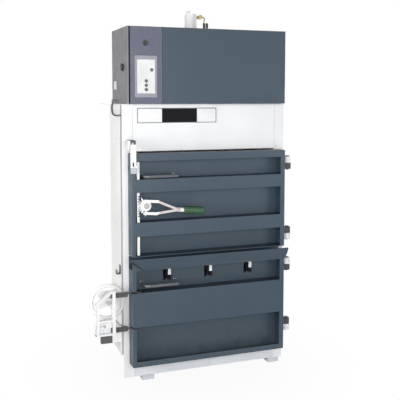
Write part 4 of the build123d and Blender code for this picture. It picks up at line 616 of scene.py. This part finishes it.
tube_radius, tube_bend, rose_radius = 0.0085, 0.02, 0.013
rose_profile = ((0.0, rose_radius), (0.0035, rose_radius), (0.005, rose_radius - 0.0015), (0.005, tube_radius))
for body in ("upper_door", "lower_door"):
    handle = body + "_handle"
    low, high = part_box(handle)
    left, right = low.x + rose_radius, high.x - rose_radius
    skin, grip, z = high.y, low.y + tube_radius, (low.z + high.z) / 2
    bent_tube(body + "_bow", ((left, skin, z), (left, grip, z), (right, grip, z), (right, skin, z)), tube_bend,
              tube_radius, handle_black, body, handle)
    for k, x in enumerate((left, right)):
        turned(body + "_rose_%d" % (k + 1), (x, skin, z), (0.0, -1.0, 0.0), rose_profile, handle_black, body,
               "dark_steel", handle)

# Hinges: flame-cut lugs, white where they are welded to the frame and dark where they are welded to the doors.
# They turn on dark steel pins with caps.
dress("frame_hinge_lugs", body_white, 0.0012)
for node in ("upper_door_lugs", "lower_door_lugs", "hinge_pins"):
    dress(node, dark_steel, 0.0012)

# Lock lever: a laser-cut toothed plate with welded bent arms, turning on a shoulder bolt, with a moulded
# green hand grip. Its teeth lift the rack bar and the latch plate, painted white, out of the keeper on the frame.
lock_white = (0.84, 0.84, 0.838)
# The bent arms are painted grey-pink as painted shade, where they turn out of the plate's plane.
arm_painted_shade = ((0.5, 0.465, 0.455), ("X", -0.292, -0.287), ("X", -0.192, -0.196))
lever_white = powder_coat("lever_white", lock_white, scuff=0.8, beyond=arm_painted_shade)
dress("lock_lever", lever_white, 0.0007)
dress("lock_bar", body_white, 0.0005)
latch_foot = ((0.46, 0.475, 0.5), ("Z", 1.158, 1.155))
latch_white = powder_coat("latch_white", lock_white, beyond=latch_foot)
dress("latch_plate", latch_white, 0.0006)
keeper_foot = (panel_white, ("X", -0.436, -0.438))
keeper_dark = powder_coat("keeper_dark", dark_paint, (0.36, 0.55), beyond=keeper_foot)
dress("latch_keeper", keeper_dark, 0.001)
bolt_zinc = bare_steel("bolt_zinc", (0.3, 0.3, 0.3), (0.4, 0.6))
dress("door_bolts", bolt_zinc, 0.0008)
green_plastic = moulded("green_plastic", (0.017, 0.07, 0.025), (0.3, 0.45), 0.00006, coat=0.1,
                        flutes=("X", 0.0145))
dress("lever_grip", green_plastic, 0.0008)

# Strap clips: three white moulded clips on the lower door's skin, one at each strap slot.
# Each has a black pad under it and, beside it, a thin black strip of painted shade where the strap slot opens.
dress("strap_clips", white_plastic, 0.0008)
pad_black = moulded("pad_black", (0.008, 0.008, 0.011), (0.6, 0.75), shine=0.12)
dress("strap_pads", pad_black, 0.001)
strap_pitch, strip_left, strip_right = 0.233, -0.0015, 0.0105
strip_front, strip_back, strip_foot, strip_head = -0.2605, -0.2588, 0.553, 0.622
for k in range(3):
    x = (k - 1) * strap_pitch
    slab("strap_slot_shade_%d" % (k + 1), (x + strip_left, strip_front, strip_foot),
         (x + strip_right, strip_back, strip_head), pad_black, "lower_door", 0.0004)

# Clamp of the lower door: a welded white loop frame with two flat locking bolts of dark steel, pulled in by
# a spindle with a cast white handwheel. Its white bracket, dark at the lower outer end, sits on the side panel.
dress("clamp_frame", body_white, 0.001)
bolt_steel = powder_coat("bolt_steel", (0.06, 0.06, 0.064), (0.3, 0.5), scuff=1.0)
dress("clamp_bolts", bolt_steel, 0.001)
bracket_end = ((0.09, 0.088, 0.086), ("Z", 0.264, 0.26), ("X", -0.504, -0.507))
bracket_white = powder_coat("bracket_white", (0.8, 0.795, 0.785), beyond=bracket_end)
dress("clamp_bracket", bracket_white, 0.0015)
wheel_white = powder_coat("wheel_white", (0.8, 0.795, 0.77), (0.28, 0.42), scuff=1.0)
wheel_finish = (wheel_white, "wheel", "wheel_grey", "handwheel")
wheel_low, wheel_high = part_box("handwheel")
wheel_middle = (wheel_low + wheel_high) / 2
rim_radius, rim_sides, rim_turns = 0.009, 24, 96
ring_radius = (wheel_high.x - wheel_low.x) / 2 - rim_radius
rim_rings = []
for k in range(rim_turns):
    turn = 2 * math.pi * k / rim_turns
    swings = [2 * math.pi * n / rim_sides for n in range(rim_sides)]
    reaches = [ring_radius + rim_radius * math.cos(swing) for swing in swings]
    rim_rings.append([wheel_middle + Vector((reach * math.cos(turn), rim_radius * math.sin(swing),
                                             reach * math.sin(turn))) for swing, reach in zip(swings, reaches)])
ringed("wheel_rim", rim_rings, True, True, *wheel_finish)
hub_half = 0.012
hub_profile = ((0.0, 0.01), (0.0, 0.019), (0.002, 0.0215), (0.004, 0.022), (0.02, 0.022), (0.022, 0.0215),
               (0.024, 0.019), (0.024, 0.01))
turned("wheel_hub", wheel_middle - Vector((0.0, hub_half, 0.0)), (0.0, 1.0, 0.0), hub_profile, *wheel_finish)
spoke_outline = ((-1, -0.5), (-0.6, -1), (0.6, -1), (1, -0.5), (1, 0.5), (0.6, 1), (-0.6, 1), (-1, 0.5))
spoke_stations = ((0.018, 0.0095, 0.0055), (0.05, 0.0075, 0.0045), (ring_radius, 0.0085, 0.005))
first_spoke, spoke_count = 55.0, 3
for k in range(spoke_count):
    spoke_turn = math.radians(first_spoke + 360.0 / spoke_count * k)
    way = Vector((math.cos(spoke_turn), 0.0, -math.sin(spoke_turn)))
    across = Vector((way.z, 0.0, -way.x))
    spoke_rings = [[wheel_middle + way * along + across * a * half + Vector((0.0, b * thick, 0.0))
                    for a, b in spoke_outline] for along, half, thick in spoke_stations]
    ringed("wheel_spoke_%d" % (k + 1), spoke_rings, False, False, *wheel_finish)
thread_steel = bare_steel("thread_steel", (0.5, 0.495, 0.48), (0.28, 0.45), rust=0.2, thread=("Y", 0.003))
dress("spindle", thread_steel, 0.0006)

# Retaining chain: welded links of dark, lightly rusted steel that hang slack from the clamp frame's post
# to an eye at the lower bolt.


def chain_tree(name, material):
    """Welded chain: a wire ring on each seat, turned as the seat faces."""
    tree, given = tree_of(name, {"Link Width": 0.006, "Wire": 0.0008})
    ring = step(tree, "GeometryNodeCurvePrimitiveCircle", Resolution=24,
                Radius=joined(tree, "MULTIPLY", given["Link Width"], 0.5))
    wire = step(tree, "GeometryNodeCurvePrimitiveCircle", Resolution=10, Radius=given["Wire"])
    link = step(tree, "GeometryNodeCurveToMesh", Curve=ring.outputs["Curve"], Profile_Curve=wire.outputs["Curve"])
    set_on_seats(tree, given, link.outputs["Mesh"], material, smooth=True, Rotation=seat_facing(tree))
    return tree


chain_dark = bare_steel("chain_dark", (0.16, 0.155, 0.15), (0.35, 0.55), rust=0.35)
chain_start, chain_end = Vector((-0.5205, -0.316, 0.378)), Vector((-0.4625, -0.316, 0.3385))
chain_links, chain_sag = 17, 0.012
flat_link, upright_link = (0.56, 0.0, 0.83), (0.0, 1.0, 0.0)
chain_ways = []
for k in range(chain_links):
    share = (k + 0.5) / chain_links
    spot = chain_start.lerp(chain_end, share) - Vector((0.0, 0.0, chain_sag * math.sin(math.pi * share)))
    chain_ways.append((tuple(spot), upright_link if k % 2 else flat_link))
grown("bolt_chain", chain_ways, chain_tree("chain", chain_dark), {"Link Width": 0.0062, "Wire": 0.0009},
      chain_dark, "carriage")

# Small hook on the left side panel: flat steel bent to shape and fixed to the sheet,
# with a thin brown coat that is worn by use.
hook_brown = powder_coat("hook_brown", (0.14, 0.11, 0.09), (0.36, 0.55), scuff=1.0)
dress("side_hook", hook_brown, 0.001)

# The photograph's set: a plain pale floor and white surroundings, broad soft light from the front,
# weaker light from the sides, from above and from behind so that every side can be read,
# and the camera at the photograph's angle.


def seen_directly(tree):
    """1 for rays from the camera or off a glossy or clear surface, which see the set white, and 0 for the rest."""
    path = step(tree, "ShaderNodeLightPath").outputs
    mirrored = joined(tree, "MAXIMUM", path["Is Glossy Ray"], path["Is Transmission Ray"])
    return joined(tree, "MAXIMUM", path["Is Camera Ray"], mirrored)


floor_half = 30.0
floor_corners = [(x * floor_half, y * floor_half, 0.0) for x, y in ((-1, -1), (1, -1), (1, 1), (-1, 1))]
floor_mesh = bpy.data.meshes.new("studio_floor")
floor_mesh.from_pydata(floor_corners, [], [(0, 1, 2, 3)])
studio_floor = bpy.data.objects.new("studio_floor", floor_mesh)
bpy.context.scene.collection.objects.link(studio_floor)
floor_paint, tree, shader = finish_of("floor_paint")
shader.inputs["Base Color"].default_value = (0.55, 0.555, 0.56, 1.0)
shader.inputs["Roughness"].default_value = 0.9
shader.inputs["Specular IOR Level"].default_value = 0.1
glow = step(tree, "ShaderNodeEmission", Color=(1.0, 1.0, 1.0, 1.0))
away = step(tree, "ShaderNodeVectorMath", {"operation": "LENGTH"}, Vector=place_on(tree)).outputs["Value"]
clean = ranged(tree, away, (0.4, 1.0), (0.94, 1.0))
both = step(tree, "ShaderNodeMixShader", Fac=joined(tree, "MULTIPLY", seen_directly(tree), clean))
tree.links.new(shader.outputs["BSDF"], both.inputs[1])
tree.links.new(glow.outputs["Emission"], both.inputs[2])
tree.links.new(both.outputs["Shader"], tree.nodes["Material Output"].inputs["Surface"])
floor_mesh.materials.append(floor_paint)

world = bpy.data.worlds.new("studio")
bpy.context.scene.world = world
world.use_nodes = True
tree = world.node_tree
coords = step(tree, "ShaderNodeTexCoord")
height = step(tree, "ShaderNodeSeparateXYZ", Vector=coords.outputs["Generated"]).outputs["Z"]
fall = ranged(tree, height, (0.0, 0.5), (0.36, 0.06))
strength = step(tree, "ShaderNodeMix", Factor=seen_directly(tree), A=fall, B=1.0)
sky = tree.nodes["Background"]
sky.inputs["Color"].default_value = (1.0, 1.0, 1.0, 1.0)
tree.links.new(strength.outputs["Result"], sky.inputs["Strength"])


def soft_box(name, place, target, width, height, power, colour=(1.0, 1.0, 1.0)):
    lamp = bpy.data.lights.new(name, "AREA")
    lamp.shape = "RECTANGLE"
    lamp.size, lamp.size_y, lamp.energy, lamp.color = width, height, power, colour
    holder = bpy.data.objects.new(name, lamp)
    bpy.context.scene.collection.objects.link(holder)
    holder.location = place
    holder.rotation_euler = (Vector(target) - Vector(place)).to_track_quat("-Z", "Y").to_euler()


soft_box("front_light", (-0.9, -4.4, 1.5), (0.0, -0.2, 1.05), 2.6, 1.8, 109.0, (0.955, 0.98, 1.0))
soft_box("left_light", (-3.6, -1.7, 1.5), (-0.4, -0.1, 0.95), 2.2, 2.0, 99.0, (1.0, 0.972, 0.95))
soft_box("right_light", (2.6, -3.2, 1.3), (0.0, -0.2, 0.9), 1.6, 2.0, 22.0)
soft_box("side_light", (3.9, 1.0, 1.6), (0.4, 0.0, 0.95), 2.0, 2.0, 58.0)
soft_box("top_light", (0.2, 1.2, 4.6), (0.0, 0.1, 1.6), 2.0, 1.6, 72.0)
soft_box("back_light", (1.0, 4.0, 2.2), (0.0, 0.1, 0.9), 2.4, 2.0, 76.0)

camera_drop, camera_turn = 4.96, -20.25
camera = bpy.data.objects.new("camera", bpy.data.cameras.new("camera"))
bpy.context.scene.collection.objects.link(camera)
camera.location = (-1.3201, -3.7329, 1.5)
camera.rotation_euler = (math.radians(90.0 - camera_drop), 0.0, math.radians(camera_turn))
camera.data.lens = 62.82
camera.data.sensor_width = 36.0
camera.data.shift_y = -0.1
bpy.context.scene.camera = camera
bpy.context.scene.view_settings.view_transform = "Standard"
